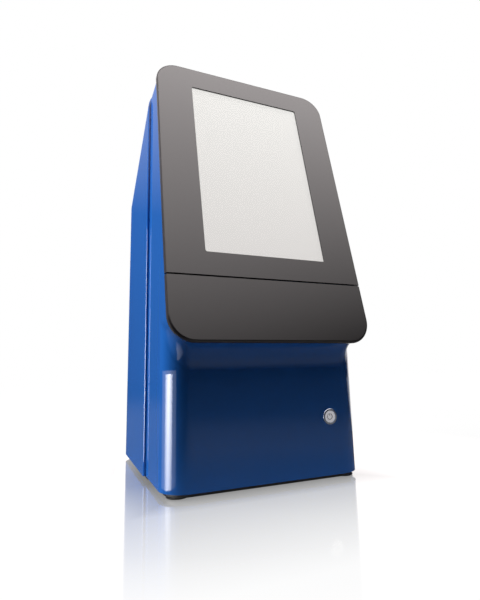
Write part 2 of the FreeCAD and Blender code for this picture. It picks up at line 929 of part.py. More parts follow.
def make_rails():
    rails = []
    inner = tray_half_width + runner_width + slide_gap - rail_groove_depth
    slot_z = tray_bottom + runner_rise - rail_slot_gap
    y0 = deck_front_y - rail_overhang
    y1 = rear_y - rail_back
    pockets = screw_holes(post_places, screw_head_radius + fit_gap, deck_top - overrun,
                          deck_top + screw_head_height + fit_gap)
    for sx in (-1, 1):
        edges = sorted([sx * inner, sx * (inner + rail_width)])
        rail = block(edges[0], edges[1], y0, y1, deck_top, upper_deck_height)
        edges = sorted([sx * (inner - overrun), sx * (inner + rail_groove_depth)])
        slot = block(edges[0], edges[1], y0 - overrun, y1 + overrun, slot_z,
                     slot_z + runner_height + 2 * rail_slot_gap)
        edges = sorted([sx * (inner + rail_width - deck_thickness), sx * (inner + rail_width + overrun)])
        flute = block(edges[0], edges[1], y0 - overrun, y1 + overrun, deck_top + deck_thickness,
                      upper_deck_height - deck_thickness)
        rails.append(rail.cut([slot, flute] + pockets))
    return Part.makeCompound(rails)


# Rack: straight teeth that face the pinion, one space centred on it at rest
def make_rack():
    pitch = math.pi * gear_module
    slope = math.tan(math.radians(pressure_angle))
    root_x = rack_pitch_x + gear_module + tip_clearance
    tip_x = rack_pitch_x - gear_module
    back_x = tray_half_width - rack_side
    y0 = panel_y(tray_bottom, panel_thickness) + rack_front
    half_at_pitch = (pitch - backlash) / 4
    root_half = half_at_pitch + (root_x - rack_pitch_x) * slope
    tip_half = half_at_pitch - gear_module * slope
    points = [(back_x, y0), (back_x, arm_back_y), (root_x, arm_back_y)]
    first = math.floor((arm_back_y - pinion_y) / pitch - 1)
    last = math.ceil((y0 - pinion_y) / pitch)
    for index in range(first, last - 1, -1):
        centre = pinion_y + (index + 0.5) * pitch
        if centre + root_half > arm_back_y or centre - root_half < y0:
            continue
        points += [(root_x, centre + root_half), (tip_x, centre + tip_half),
                   (tip_x, centre - tip_half), (root_x, centre - root_half)]
    points.append((root_x, y0))
    face = rounded_face(points, [0] * len(points), plan)
    face.translate(Vector(0, 0, tray_bottom - gear_width))
    return face.extrude(Vector(0, 0, gear_width))


def involute_point(base_radius, radius, start_angle, turn):
    roll = math.sqrt(max((radius / base_radius) ** 2 - 1, 0))
    angle = start_angle + turn * (roll - math.atan(roll))
    return Vector(radius * math.cos(angle), radius * math.sin(angle), 0)


# Pinion with involute teeth, one tooth pointing at the rack at rest
def make_pinion():
    base_radius = pinion_radius * math.cos(math.radians(pressure_angle))
    tip_radius = pinion_radius + gear_module
    root_radius = pinion_radius - gear_module - tip_clearance
    pitch_roll = math.tan(math.radians(pressure_angle))
    half_pitch_angle = (math.pi * gear_module - backlash) / 4 / pinion_radius
    start = half_pitch_angle + pitch_roll - math.radians(pressure_angle)
    teeth = []
    for index in range(pinion_teeth):
        centre = 2 * math.pi * index / pinion_teeth
        right = []
        left = []
        for step in range(gear_flank_steps):
            radius = base_radius + (tip_radius - base_radius) * step / (gear_flank_steps - 1)
            right.append(involute_point(base_radius, radius, centre - start, 1))
            left.append(involute_point(base_radius, radius, centre + start, -1))
        foot_right = right[0] * (root_radius / base_radius)
        foot_left = left[0] * (root_radius / base_radius)
        outline = [foot_right] + right + left[::-1] + [foot_left]
        teeth.append((outline, foot_left))
    edges = []
    for index, (outline, foot_left) in enumerate(teeth):
        for a, b in zip(outline, outline[1:]):
            edges.append(Part.makeLine(a, b))
        following = teeth[(index + 1) % pinion_teeth][0][0]
        edges.append(Part.makeLine(foot_left, following))
    face = Part.Face(Part.Wire(edges))
    gear = face.extrude(Vector(0, 0, gear_width))
    hub = rod_z(pinion_hub_radius, -pinion_hub_height, 0, 0, 0)
    gear = gear.fuse(hub).removeSplitter()
    gear = gear.cut(rod_z(motor_shaft_radius, -overrun, gear_width + overrun, 0, 0))
    gear.translate(Vector(pinion_x, pinion_y, tray_bottom - gear_width))
    return gear


def make_drawer_motor():
    gearbox_top = deck_height
    x = pinion_x
    y = pinion_y
    gearbox = rod_z(gearbox_radius, gearbox_top - gearbox_length, gearbox_top, x, y)
    gearbox_bottom = gearbox_top - gearbox_length
    can = rod_z(motor_radius, gearbox_bottom - motor_length, gearbox_bottom, x, y)
    flange = plate(x - motor_flange_width / 2, x + motor_flange_width / 2, y - gearbox_radius / 2,
                   y + gearbox_radius / 2, gearbox_top - motor_flange_thickness, gearbox_top,
                   motor_flange_thickness)
    boss = rod_z(motor_boss_radius, gearbox_top, deck_top, x, y)
    bore = rod_z(motor_shaft_radius + running_gap, deck_top - motor_shaft_grip - fit_gap,
                 deck_top + overrun, x, y)
    return joined(can, [gearbox, flange, boss]).cut(bore)


def make_motor_shaft():
    return rod_z(motor_shaft_radius, deck_top - motor_shaft_grip, tray_bottom - fit_gap, pinion_x, pinion_y)


# Spindle: flat motor under the tray, bearing, shaft and hub that centres the disc
def make_spindle_motor():
    can = rod_z(well_radius - spindle_motor_inset, tray_bottom - spindle_motor_height, tray_bottom, 0, well_y)
    bottom = tray_bottom - spindle_motor_height
    lower_rim = [edge for edge in can.Edges if edge.BoundBox.ZMax < bottom + touch]
    can = can.makeFillet(spindle_motor_round, lower_rim)
    bore = rod_z(spindle_shaft_radius + running_gap, tray_bottom - spindle_shaft_grip - fit_gap,
                 tray_bottom + overrun, 0, well_y)
    return can.cut(bore)


def make_spindle_bearing():
    top = well_floor + bearing_flange_height
    body = rod_z(bearing_radius, tray_bottom, well_floor, 0, well_y)
    flange = rod_z(bearing_flange_radius, well_floor, top, 0, well_y)
    bore = rod_z(spindle_shaft_radius + running_gap, tray_bottom - overrun, top + overrun, 0, well_y)
    return joined(body, [flange]).cut(bore)


hub_bottom = well_floor + bearing_flange_height + hub_clearance


def make_spindle_shaft():
    return rod_z(spindle_shaft_radius, tray_bottom - spindle_shaft_grip, hub_bottom + hub_height, 0, well_y)


def make_spindle_hub():
    shoulder = hub_bottom + hub_height
    disc = rod_z(hub_radius, hub_bottom, shoulder, 0, well_y)
    nose = Part.makeCone(hub_nose_radius, hub_nose_radius - hub_nose_height / 2, hub_nose_height,
                         Vector(0, well_y, shoulder))
    pins = []
    for i in range(drive_pin_count):
        angle = 2 * math.pi * i / drive_pin_count
        pins.append(rod_z(drive_pin_radius, shoulder - touch, shoulder + drive_pin_height,
                          drive_pin_circle * math.cos(angle), well_y + drive_pin_circle * math.sin(angle)))
    hub = joined(disc, [nose] + pins)
    return hub.cut(rod_z(spindle_shaft_radius, hub_bottom - overrun, shoulder, 0, well_y))


# Heater plate over the disc, lamp below it and photometer above it
photometer_length = body_depth * photometer_share


def make_heater_plate():
    radius = well_radius - heater_inset
    ring = rod_z(radius, upper_deck_height - heater_thickness, upper_deck_height, 0, well_y)
    return ring.cut(rod_z(beam_radius, 0, body_height, 0, beam_y))


def make_photometer():
    z0 = upper_deck_height + deck_thickness
    y0 = beam_y - photometer_front
    half = photometer_width / 2
    y1 = y0 + photometer_length
    top = z0 + photometer_height
    points = [(y0, z0), (y1, z0), (y1, top), (y0 + photometer_chamfer, top), (y0, top - photometer_chamfer)]
    face = rounded_face(points, [0] * len(points), side)
    face.translate(Vector(-half, 0, 0))
    body = face.extrude(Vector(2 * half, 0, 0))
    cuts = [rod_z(beam_radius, z0 - overrun, z0 + photometer_height / 2, 0, beam_y)]
    for i in range(splitter_count):
        y = beam_y + photometer_chamfer + i * photometer_length * splitter_pitch_share
        cuts.append(block(-half / 2, half / 2, y, y + splitter_width, top - splitter_depth, top + overrun))
    return body.cut(cuts)


def make_diode_board():
    y0 = beam_y - photometer_front + photometer_length
    z0 = upper_deck_height + deck_thickness
    return block(-diode_board_width / 2, diode_board_width / 2, y0, y0 + board_thickness, z0,
                 z0 + diode_board_height)


def make_photodiodes():
    y0 = beam_y - photometer_front + photometer_length + board_thickness
    z = upper_deck_height + deck_thickness + diode_rise
    first = -diode_pitch * (diode_count - 1) / 2
    return Part.makeCompound([rod_y(diode_radius, y0, y0 + diode_height, first + i * diode_pitch, z)
                              for i in range(diode_count)])


def make_lamp_housing():
    half = lamp_width / 2
    y0 = beam_y - lamp_front
    top = deck_top + lamp_height
    body = plate(-half, half, y0, y0 + lamp_length, deck_top, top, lamp_wall)
    room = block(-half + lamp_wall, half - lamp_wall, y0 + lamp_wall, y0 + lamp_length + overrun,
                 deck_top + lamp_wall, top - lamp_wall)
    port = rod_z(beam_radius, deck_top + lamp_wall, top + overrun, 0, beam_y)
    seat = rod_z(lens_radius + running_gap, top - lens_seat, top + overrun, 0, beam_y)
    return body.cut([room, port, seat])


def make_flash_lamp():
    z = deck_top + lamp_height / 2
    y0 = beam_y - lamp_front + lamp_wall
    tube = rod_y(bulb_radius, y0 + fit_gap, y0 + bulb_length, 0, z)
    socket_end = y0 + lamp_length - lamp_wall
    base = block(-bulb_radius * 2, bulb_radius * 2, y0 + bulb_length, socket_end, deck_top + lamp_wall,
                 deck_top + lamp_height - lamp_wall)
    return joined(tube, [base])


def make_lens():
    bottom = deck_top + lamp_height - lens_seat
    edge_height = lens_thickness / 2
    disc = rod_z(lens_radius, bottom, bottom + edge_height, 0, beam_y)
    dome = Part.makeCone(lens_radius, lens_radius / 2, lens_thickness - edge_height,
                         Vector(0, beam_y, bottom + edge_height))
    return joined(disc, [dome])


def make_barcode_reader():
    z0 = upper_deck_height + deck_thickness
    x0 = -half_width + deck_side + barcode_side
    y0 = deck_front_y + barcode_front
    body = plate(x0, x0 + barcode_width, y0, y0 + barcode_length, z0, z0 + barcode_height, lamp_wall)
    snout = plate(x0 + barcode_snout, x0 + barcode_width - barcode_snout, y0 + barcode_snout,
                  y0 + barcode_length - barcode_snout, z0 + barcode_height,
                  z0 + barcode_height + barcode_snout / 2, lamp_wall)
    return joined(body, [snout])


# Electronics on the base
board_back_y = rear_y - board_back
board_front_y = front_y + board_front
standoff_places = [(sx * (board_width / 2 - standoff_inset), y) for sx in (-1, 1)
                   for y in (board_front_y + standoff_inset, board_back_y - standoff_back_inset)]


def make_main_board():
    sheet = plate(-board_width / 2, board_width / 2, board_front_y, board_back_y, board_height, board_top,
                  board_corner_radius)
    return sheet.cut(screw_holes(standoff_places, screw_radius, 0, body_height))


def make_standoffs():
    posts = []
    for x, y in standoff_places:
        posts.append(rod_z(standoff_radius, base_top, board_height, x, y))
    return Part.makeCompound(posts)


def make_board_screws():
    screws = []
    for x, y in standoff_places:
        screws.append(rod_z(screw_head_radius, board_top, board_top + screw_head_height, x, y))
    return Part.makeCompound(screws)


def make_heat_sink():
    x0 = -board_width / 2 + sink_inset
    y0 = rear_y - sink_back
    base = block(x0, x0 + sink_size, y0, y0 + sink_size, board_top, board_top + sink_base)
    pitch = (sink_size - sink_fin_width) / (sink_fins - 1)
    fins = [block(x0 + i * pitch, x0 + i * pitch + sink_fin_width, y0, y0 + sink_size,
                  board_top + sink_base - touch, board_top + sink_height) for i in range(sink_fins)]
    return joined(base, fins)


def make_board_parts():
    parts = []
    for i in range(chip_count):
        x0 = -chip_pitch / 4 + (i % 2) * chip_pitch
        y0 = rear_y - chip_back - (i // 2) * chip_pitch
        parts.append(block(x0, x0 + chip_size, y0, y0 + chip_size, board_top, board_top + chip_height))
    for i in range(cap_count):
        parts.append(rod_z(cap_radius, board_top, board_top + cap_height, board_width / 2 - cap_inset,
                           rear_y - cap_back - i * cap_pitch))
    return Part.makeCompound(parts)


def make_usb_ports():
    ports = []
    for x in usb_places():
        shell = block(x - usb_width / 2, x + usb_width / 2, port_y - usb_depth, port_y, board_top,
                      board_top + usb_height)
        slot_half = usb_slot_width / 2
        slot_bottom = board_top + (usb_height - usb_slot_height) / 2
        slot_top = slot_bottom + usb_slot_height
        slot = block(x - slot_half, x + slot_half, port_y - usb_slot_depth, port_y + overrun,
                     slot_bottom, slot_top)
        tongue = block(x - slot_half + usb_tongue, x + slot_half - usb_tongue,
                       port_y - usb_slot_depth - touch, port_y - usb_tongue, slot_top - usb_tongue, slot_top)
        ports.append(shell.cut(slot.cut(tongue)))
    return Part.makeCompound(ports)


def make_network_port():
    x = network_side
    shell = block(x - network_width / 2, x + network_width / 2, port_y - network_depth, port_y, board_top,
                  board_top + network_height)
    z0 = board_top + network_slot_rise
    slot = block(x - network_slot_width / 2, x + network_slot_width / 2, port_y - network_slot_depth,
                 port_y + overrun, z0, z0 + network_slot_height)
    notch = block(x - network_slot_width / 4, x + network_slot_width / 4, port_y - network_slot_depth,
                  port_y + overrun, z0 + network_slot_height - touch, z0 + network_slot_height + usb_tongue)
    return shell.cut([slot, notch])


def make_power_jack():
    x = jack_side
    body = block(x - jack_width / 2, x + jack_width / 2, port_y - jack_depth, port_y, board_top,
                 board_top + jack_height)
    z = board_top + jack_height / 2
    bore = rod_y(jack_bore_radius, port_y - jack_bore_depth, port_y + overrun, x, z)
    pin = rod_y(jack_pin_radius, port_y - jack_bore_depth - touch, port_y - port_reveal, x, z)
    return body.cut(bore.cut(pin))


def make_speaker():
    y = front_face_y + speaker_front
    x = speaker_inset - half_width
    rim_top = base_top + speaker_height * speaker_height_shares[0]
    cone_top = base_top + speaker_height * speaker_height_shares[1]
    rim = rod_z(speaker_radius, base_top, rim_top, x, y)
    cone = Part.makeCone(speaker_radius, speaker_magnet_radius, cone_top - rim_top, Vector(x, y, rim_top))
    magnet = rod_z(speaker_magnet_radius, cone_top, base_top + speaker_height, x, y)
    return joined(rim, [cone, magnet])


# Exhaust fan, filter and the grille in the rear wall
def make_fan_frame():
    half = fan_size / 2
    face = rounded_face([(-half, fan_height - half), (half, fan_height - half), (half, fan_height + half),
                         (-half, fan_height + half)], [fan_corner_radius] * 4, elevation)
    face.translate(Vector(0, fan_front_y, 0))
    frame = face.extrude(Vector(0, fan_depth, 0))
    cuts = [rod_y(fan_bore_radius, fan_front_y - overrun, fan_back_y + overrun, 0, fan_height)]
    for sx in (-1, 1):
        for sz in (-1, 1):
            cuts.append(rod_y(fan_hole_radius, fan_front_y - overrun, fan_back_y + overrun,
                              sx * fan_hole_spacing / 2, fan_height + sz * fan_hole_spacing / 2))
    frame = frame.cut(cuts)
    arms = []
    for i in range(fan_arm_count):
        arm = block(0, fan_bore_radius + fan_corner_radius / 4, fan_front_y, fan_front_y + fan_base_thickness,
                    fan_height - fan_arm_width / 2, fan_height + fan_arm_width / 2)
        arm.rotate(Vector(0, 0, fan_height), Vector(0, 1, 0), fan_arm_turn + i * 360 / fan_arm_count)
        arms.append(arm)
    base = rod_y(fan_base_radius, fan_front_y, fan_front_y + fan_base_thickness, 0, fan_height)
    frame = joined(frame, arms + [base])
    return frame.cut(rod_y(fan_shaft_radius + running_gap, fan_front_y - overrun, fan_back_y, 0, fan_height))


def blade_section(radius, chord, turn):
    angle = math.radians(turn)
    along = Vector(0, math.cos(angle), math.sin(angle)) * (chord / 2)
    across = Vector(0, -math.sin(angle), math.cos(angle)) * (blade_thickness / 2)
    corners = [along + across, along - across, Vector(0, 0, 0) - along - across, across - along]
    points = [Vector(radius, corner.y, corner.z) for corner in corners]
    return Part.makePolygon(points + [points[0]])


def make_fan_rotor():
    bottom = fan_front_y + fan_base_thickness + fan_rise
    hub = rod_y(fan_hub_radius, bottom, bottom + fan_hub_height, 0, fan_height)
    shaft = rod_y(fan_shaft_radius, bottom - fan_shaft_length / 2, bottom + touch, 0, fan_height)
    blades = []
    for i in range(blade_count):
        root = blade_section(fan_hub_radius - blade_thickness, blade_root_chord, blade_root_turn)
        tip = blade_section(fan_bore_radius - blade_tip_gap, blade_tip_chord, blade_tip_turn)
        blade = Part.makeLoft([root, tip], True, True)
        blade.translate(Vector(0, bottom + fan_hub_height / 2, fan_height))
        blade.rotate(Vector(0, 0, fan_height), Vector(0, 1, 0), i * 360 / blade_count)
        blades.append(blade)
    rotor = hub.fuse(blades + [shaft])
    depth = block(-fan_size, fan_size, bottom - fan_shaft_length, fan_back_y - fan_rise,
                  fan_height - fan_size, fan_height + fan_size)
    return rotor.common(depth)


def make_filter():
    half = duct_width / 2 - fit_gap
    y1 = rear_y - grille_thickness - fit_gap
    return block(-half, half, y1 - filter_thickness, y1, fan_height - half, fan_height + half)


def make_grille():
    half = grille_width / 2
    face = rounded_face([(-half, fan_height - half), (half, fan_height - half), (half, fan_height + half),
                         (-half, fan_height + half)], [grille_corner_radius] * 4, elevation)
    face.translate(Vector(0, rear_y - grille_thickness, 0))
    cover = face.extrude(Vector(0, grille_thickness, 0))
    cuts = []
    first = fan_height - grille_slot_pitch * (grille_slot_count - 1) / 2
    for i in range(grille_slot_count):
        z = first + i * grille_slot_pitch
        slot = rounded_face([(-grille_slot_length / 2, z - grille_slot_width / 2),
                             (grille_slot_length / 2, z - grille_slot_width / 2),
                             (grille_slot_length / 2, z + grille_slot_width / 2),
                             (-grille_slot_length / 2, z + grille_slot_width / 2)],
                            [grille_slot_width / 2 - touch] * 4, elevation)
        slot.translate(Vector(0, rear_y - grille_thickness - overrun, 0))
        cuts.append(slot.extrude(Vector(0, 2 * overrun + grille_thickness, 0)))
    latch_top = fan_height + half - grille_latch_drop
    cuts.append(block(-grille_latch_width / 2, grille_latch_width / 2, rear_y - grille_thickness / 2,
                      rear_y + overrun, latch_top - grille_latch_height, latch_top))
    return cover.cut(cuts)


# Power button: ring in the front wall, moving cap with its stem, and the switch behind
def make_button_ring():
    flange = rod_y(ring_radius, front_face_y - ring_proud, front_face_y, button_x, button_height)
    barrel = rod_y(ring_barrel_radius, front_face_y - ring_proud, front_face_y + ring_barrel_length, button_x,
                   button_height)
    bore = rod_y(cap_face_radius + cap_gap, front_face_y - overrun,
                 front_face_y + ring_barrel_length + overrun, button_x, button_height)
    ring = joined(flange, [barrel]).cut(bore)
    front_rim = []
    for edge in ring.Edges:
        at_front = edge.BoundBox.YMax < front_face_y - ring_proud + touch
        if at_front and edge.BoundBox.XLength > 2 * ring_radius - touch:
            front_rim.append(edge)
    return ring.makeFillet(ring_proud / 2, front_rim)


def make_power_button():
    face_y = front_face_y - cap_proud
    cap = rod_y(cap_face_radius, face_y, face_y + cap_thickness, button_x, button_height)
    dish = Part.makeCone(cap_face_radius * cap_dish_shares[0], cap_face_radius * cap_dish_shares[1], cap_dish,
                         Vector(button_x, face_y, button_height), Vector(0, 1, 0))
    stem_end = board_mount_y - 2 * switch_bore_gap - button_travel
    stem = rod_y(stem_radius, face_y + cap_thickness - touch, stem_end, button_x, button_height)
    return joined(cap, [stem]).cut(dish)


def make_button_switch():
    y0 = board_mount_y - switch_depth
    half = switch_size / 2
    body = block(button_x - half, button_x + half, y0, board_mount_y,
                 button_height - half, button_height + half)
    bore = rod_y(stem_radius + switch_bore_gap, y0 - overrun, board_mount_y - switch_bore_gap, button_x,
                 button_height)
    return body.cut(bore)


def make_button_board():
    return block(button_x - button_board_width / 2, button_x + button_board_width / 2, board_mount_y,
                 board_mount_y + board_thickness, button_height - button_board_height / 2,
                 button_height + button_board_height / 2)


# Printer: everything is drawn in the frame of the rear slope, depths are negative
hinge_room = hinge_margin + knuckle_radius
hinge_down = slope_length - door_end
hinge_depth = knuckle_radius + hinge_sink
rim_depth = wall
floor_depth = rim_depth + bucket_rim_depth
door_half_width = half_width - door_side
roll_width = 2 * (door_half_width - roll_side)
platen_width = roll_width - 2 * platen_inset
knuckle_width = roll_width + 2 * knuckle_margin
roll_radius = (hinge_down - door_start) * roll_radius_share
pocket_radius = roll_radius + pocket_clearance
pocket_sink = pocket_radius + pocket_cover
platen_down = door_start + platen_back
pocket_down = hinge_down - hinge_margin - bucket_wall - pocket_radius
sin_slope = math.sin(math.radians(slope_angle))
cos_slope = math.cos(math.radians(slope_angle))
roll_shift = pocket_radius - roll_radius - roll_gap
roll_down = pocket_down + roll_shift * sin_slope
roll_depth = pocket_sink + roll_shift * cos_slope
pocket_half = roll_width / 2 + pocket_side_gap


# Space for the roll, the throat and the print head, grown by a margin
def pocket_space(margin):
    half = pocket_half + margin
    radius = pocket_radius + margin
    drum = rod_x(radius, -half, half, pocket_down, -pocket_sink)
    below = block(-half, half, pocket_down - radius, pocket_down + radius, -body_depth, -floor_depth)
    drum = drum.common(below)
    shaft = block(-half, half, pocket_down - radius, pocket_down + radius, -pocket_sink, -floor_depth)
    throat = block(-half, half, door_start - margin, pocket_down, -throat_depth - margin, -floor_depth)
    return joined(drum, [shaft, throat])


def make_printer_bucket():
    half = door_half_width + bucket_rim_over
    start = door_start - bucket_rim_over
    end = hinge_down + hinge_room + bucket_rim_over
    rim = plate(-half, half, start, end, -floor_depth - bucket_wall, -rim_depth, bucket_rim_over / 2)
    rim_room = plate(-half + bucket_wall, half - bucket_wall, start + bucket_wall, end - bucket_wall,
                     -floor_depth, overrun, bucket_rim_over / 2 - bucket_wall / 2)
    outer = rim.cut(rim_room).fuse(pocket_space(bucket_wall))
    bucket = outer.cut(pocket_space(0))
    ears = []
    ear_x = knuckle_width / 2 + ear_gap
    for sx in (-1, 1):
        edges = sorted([sx * ear_x, sx * (ear_x + ear_width)])
        lug = rod_x(knuckle_radius, edges[0], edges[1], hinge_down, -hinge_depth)
        foot = block(edges[0], edges[1], hinge_down - knuckle_radius, hinge_down + knuckle_radius,
                     -floor_depth - bucket_wall / 2, -hinge_depth)
        ears.append(lug.fuse(foot))
    bucket = joined(bucket, ears)
    head_bottom = platen_sink + platen_radius + head_gap + head_thickness
    rest = block(-platen_width / 2, platen_width / 2, platen_down - head_length / 2,
                 platen_down + head_length / 2, -throat_depth - bucket_wall / 2, -head_bottom)
    bucket = joined(bucket, [rest])
    bucket = bucket.cut(rod_x(hinge_pin_radius, -body_width, body_width, hinge_down, -hinge_depth))
    return in_frame(bucket, slope_frame)


def make_hinge_pin():
    reach = knuckle_width / 2 + ear_gap + ear_width
    return in_frame(rod_x(hinge_pin_radius, -reach, reach, hinge_down, -hinge_depth), slope_frame)


def make_printer_door():
    slab = plate(-door_half_width, door_half_width, door_start, hinge_down - knuckle_radius - door_gap,
                 -door_thickness, 0, door_gap)
    half = knuckle_width / 2
    web = block(-half, half, hinge_down - knuckle_radius - 2 * door_gap, hinge_down, -door_thickness,
                -hinge_sink)
    barrel = rod_x(knuckle_radius, -half, half, hinge_down, -hinge_depth)
    cheeks = []
    cheek_x = platen_width / 2 + cheek_gap
    for sx in (-1, 1):
        edges = sorted([sx * cheek_x, sx * (cheek_x + cheek_width)])
        lobe = rod_x(cheek_radius, edges[0], edges[1], platen_down, -platen_sink)
        neck = block(edges[0], edges[1], platen_down - cheek_radius, platen_down + cheek_radius, -platen_sink,
                     -door_thickness / 2)
        cheeks.append(lobe.fuse(neck))
    door = joined(slab, [web, barrel] + cheeks)
    latch_half = latch_button_width / 2 + latch_slot_gap
    latch_start = door_start + latch_back
    slot = block(-latch_half, latch_half, latch_start - latch_slot_gap,
                 latch_start + latch_button_length + latch_travel + latch_slot_gap,
                 -door_thickness - overrun, overrun)
    pin_hole = rod_x(hinge_pin_radius + running_gap, -body_width, body_width, hinge_down, -hinge_depth)
    journal = rod_x(platen_shaft_radius + running_gap, -body_width, body_width, platen_down, -platen_sink)
    seat = block(-roll_width / 2 - fit_gap, roll_width / 2 + fit_gap, door_start - overrun,
                 door_start + tear_depth, -door_thickness - overrun, -door_thickness + tear_thickness)
    return in_frame(door.cut([slot, pin_hole, journal, seat]), slope_frame)


def make_platen():
    roller = rod_x(platen_radius, -platen_width / 2, platen_width / 2, platen_down, -platen_sink)
    reach = platen_width / 2 + cheek_gap + cheek_width
    shaft = rod_x(platen_shaft_radius, -reach, reach, platen_down, -platen_sink)
    return in_frame(joined(roller, [shaft]), slope_frame)


def make_print_head():
    top = platen_sink + platen_radius + head_gap
    body = plate(-platen_width / 2, platen_width / 2, platen_down - head_length / 2,
                 platen_down + head_length / 2, -top - head_thickness, -top, head_gap)
    return in_frame(body, slope_frame)


# Toothed strip along the top edge of the door, on which the paper is torn off
def make_tear_bar():
    half = roll_width / 2
    pitch = roll_width / tear_teeth
    points = [(half, door_start + tear_depth), (-half, door_start + tear_depth), (-half, door_start)]
    for i in range(tear_teeth):
        left = -half + i * pitch
        points += [(left + pitch / 2, door_start - tear_tooth_height), (left + pitch, door_start)]
    face = rounded_face(points, [0] * len(points), plan)
    face.translate(Vector(0, 0, -door_thickness))
    return in_frame(face.extrude(Vector(0, 0, tear_thickness)), slope_frame)


def make_paper_roll():
    roll = rod_x(roll_radius, -roll_width / 2, roll_width / 2, roll_down, -roll_depth)
    core = rod_x(roll_core_radius, -roll_width, roll_width, roll_down, -roll_depth)
    return in_frame(roll.cut(core), slope_frame)


# Latch: a finger pad on the door joined to a bar with two tongues at the door's top edge
def make_printer_latch():
    start = door_start + latch_back
    pad_half = latch_button_width / 2
    under = door_thickness + latch_gap
    bar_half = door_half_width - latch_arm_side
    pad = block(-pad_half, pad_half, start, start + latch_button_length, -under, -latch_sink)
    bar_start = start + latch_button_length - latch_bar_length
    bar = block(-bar_half, bar_half, bar_start, start + latch_button_length, -under - latch_thickness, -under)
    arms = []
    for sx in (-1, 1):
        edges = sorted([sx * bar_half, sx * (bar_half - latch_arm_width)])
        arms.append(block(edges[0], edges[1], door_start - paper_slot + latch_tip_gap,
                          start + latch_button_length, -under - latch_thickness, -under))
    ridges = []
    for i in range(latch_ridge_count):
        y = start + latch_button_length * (i + 1) / (latch_ridge_count + 1)
        reach = pad_half * latch_ridge_share
        ridges.append(block(-reach, reach, y - latch_ridge_width / 2, y + latch_ridge_width / 2,
                            -latch_sink - touch, -latch_sink + latch_ridge_height))
    return in_frame(joined(pad, [bar] + arms + ridges), slope_frame)


nodes = {
    "front_housing": make_front_housing,
    "rear_housing": make_rear_housing,
    "base_plate": make_base_plate,
    "rubber_feet": make_feet,
    "base_screws": make_base_screws,
    "screen_bezel": make_screen_bezel,
    "touch_glass": make_touch_glass,
    "display_module": make_display,
    "display_bracket": make_display_bracket,
    "bracket_screws": make_bracket_screws,
    "drawer_front": make_drawer_front,
    "drawer_tray": make_drawer_tray,
    "drawer_runners": make_runners,
    "drawer_rails": make_rails,
    "drawer_rack": make_rack,
    "drawer_pinion": make_pinion,
    "drawer_motor": make_drawer_motor,
    "motor_shaft": make_motor_shaft,
    "spindle_motor": make_spindle_motor,
    "spindle_bearing": make_spindle_bearing,
    "spindle_shaft": make_spindle_shaft,
    "spindle_hub": make_spindle_hub,
    "lower_deck": make_lower_deck,
    "upper_deck": make_upper_deck,
    "deck_posts": make_deck_posts,
    "deck_screws": make_deck_screws,
    "heater_plate": make_heater_plate,
    "photometer_block": make_photometer,
    "photodiode_board": make_diode_board,
    "photodiodes": make_photodiodes,
    "lamp_housing": make_lamp_housing,
    "flash_lamp": make_flash_lamp,
    "condenser_lens": make_lens,
    "barcode_reader": make_barcode_reader,
    "main_board": make_main_board,
    "board_standoffs": make_standoffs,
    "board_screws": make_board_screws,
    "heat_sink": make_heat_sink,
    "board_components": make_board_parts,
    "usb_ports": make_usb_ports,
    "network_port": make_network_port,
    "power_jack": make_power_jack,
    "speaker": make_speaker,
    "fan_frame": make_fan_frame,
    "fan_rotor": make_fan_rotor,
    "filter_foam": make_filter,
    "filter_grille": make_grille,
    "power_button": make_power_button,
    "button_ring": make_button_ring,
    "button_switch": make_button_switch,
    "button_board": make_button_board,
    "printer_bucket": make_printer_bucket,
    "printer_door": make_printer_door,
    "door_hinge_pin": make_hinge_pin,
    "printer_latch": make_printer_latch,
    "platen_roller": make_platen,
    "print_head": make_print_head,
    "tear_bar": make_tear_bar,
    "paper_roll": make_paper_roll,
}

os.makedirs("parts", exist_ok=True)
for name, make in nodes.items():
    shape = make()
    shape.exportStep(os.path.join("parts", name + ".step"))
    print(name, len(shape.Solids), round(shape.Volume), shape.isValid())
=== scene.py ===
import json
import math

import bmesh
import bpy
from mathutils import Matrix, Vector


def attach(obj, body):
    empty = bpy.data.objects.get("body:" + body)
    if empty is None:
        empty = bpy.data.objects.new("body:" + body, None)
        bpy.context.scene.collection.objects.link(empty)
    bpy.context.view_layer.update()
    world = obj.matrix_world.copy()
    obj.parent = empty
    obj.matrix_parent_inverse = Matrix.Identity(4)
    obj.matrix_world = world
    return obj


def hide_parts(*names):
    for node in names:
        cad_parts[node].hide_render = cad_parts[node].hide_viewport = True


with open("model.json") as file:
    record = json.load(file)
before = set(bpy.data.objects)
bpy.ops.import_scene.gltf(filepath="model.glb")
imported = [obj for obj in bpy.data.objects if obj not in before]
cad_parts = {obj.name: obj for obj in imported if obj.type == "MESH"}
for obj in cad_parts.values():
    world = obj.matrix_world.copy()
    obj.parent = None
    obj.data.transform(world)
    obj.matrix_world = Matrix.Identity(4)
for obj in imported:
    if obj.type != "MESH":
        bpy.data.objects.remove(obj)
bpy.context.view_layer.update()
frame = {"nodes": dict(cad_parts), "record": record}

# Benchtop chemistry analyzer: looks, light and camera round the CAD frame. Metres, +Z up, -Y is the front.
print("frame loaded:", len(frame["nodes"]), "nodes")


# Node helpers

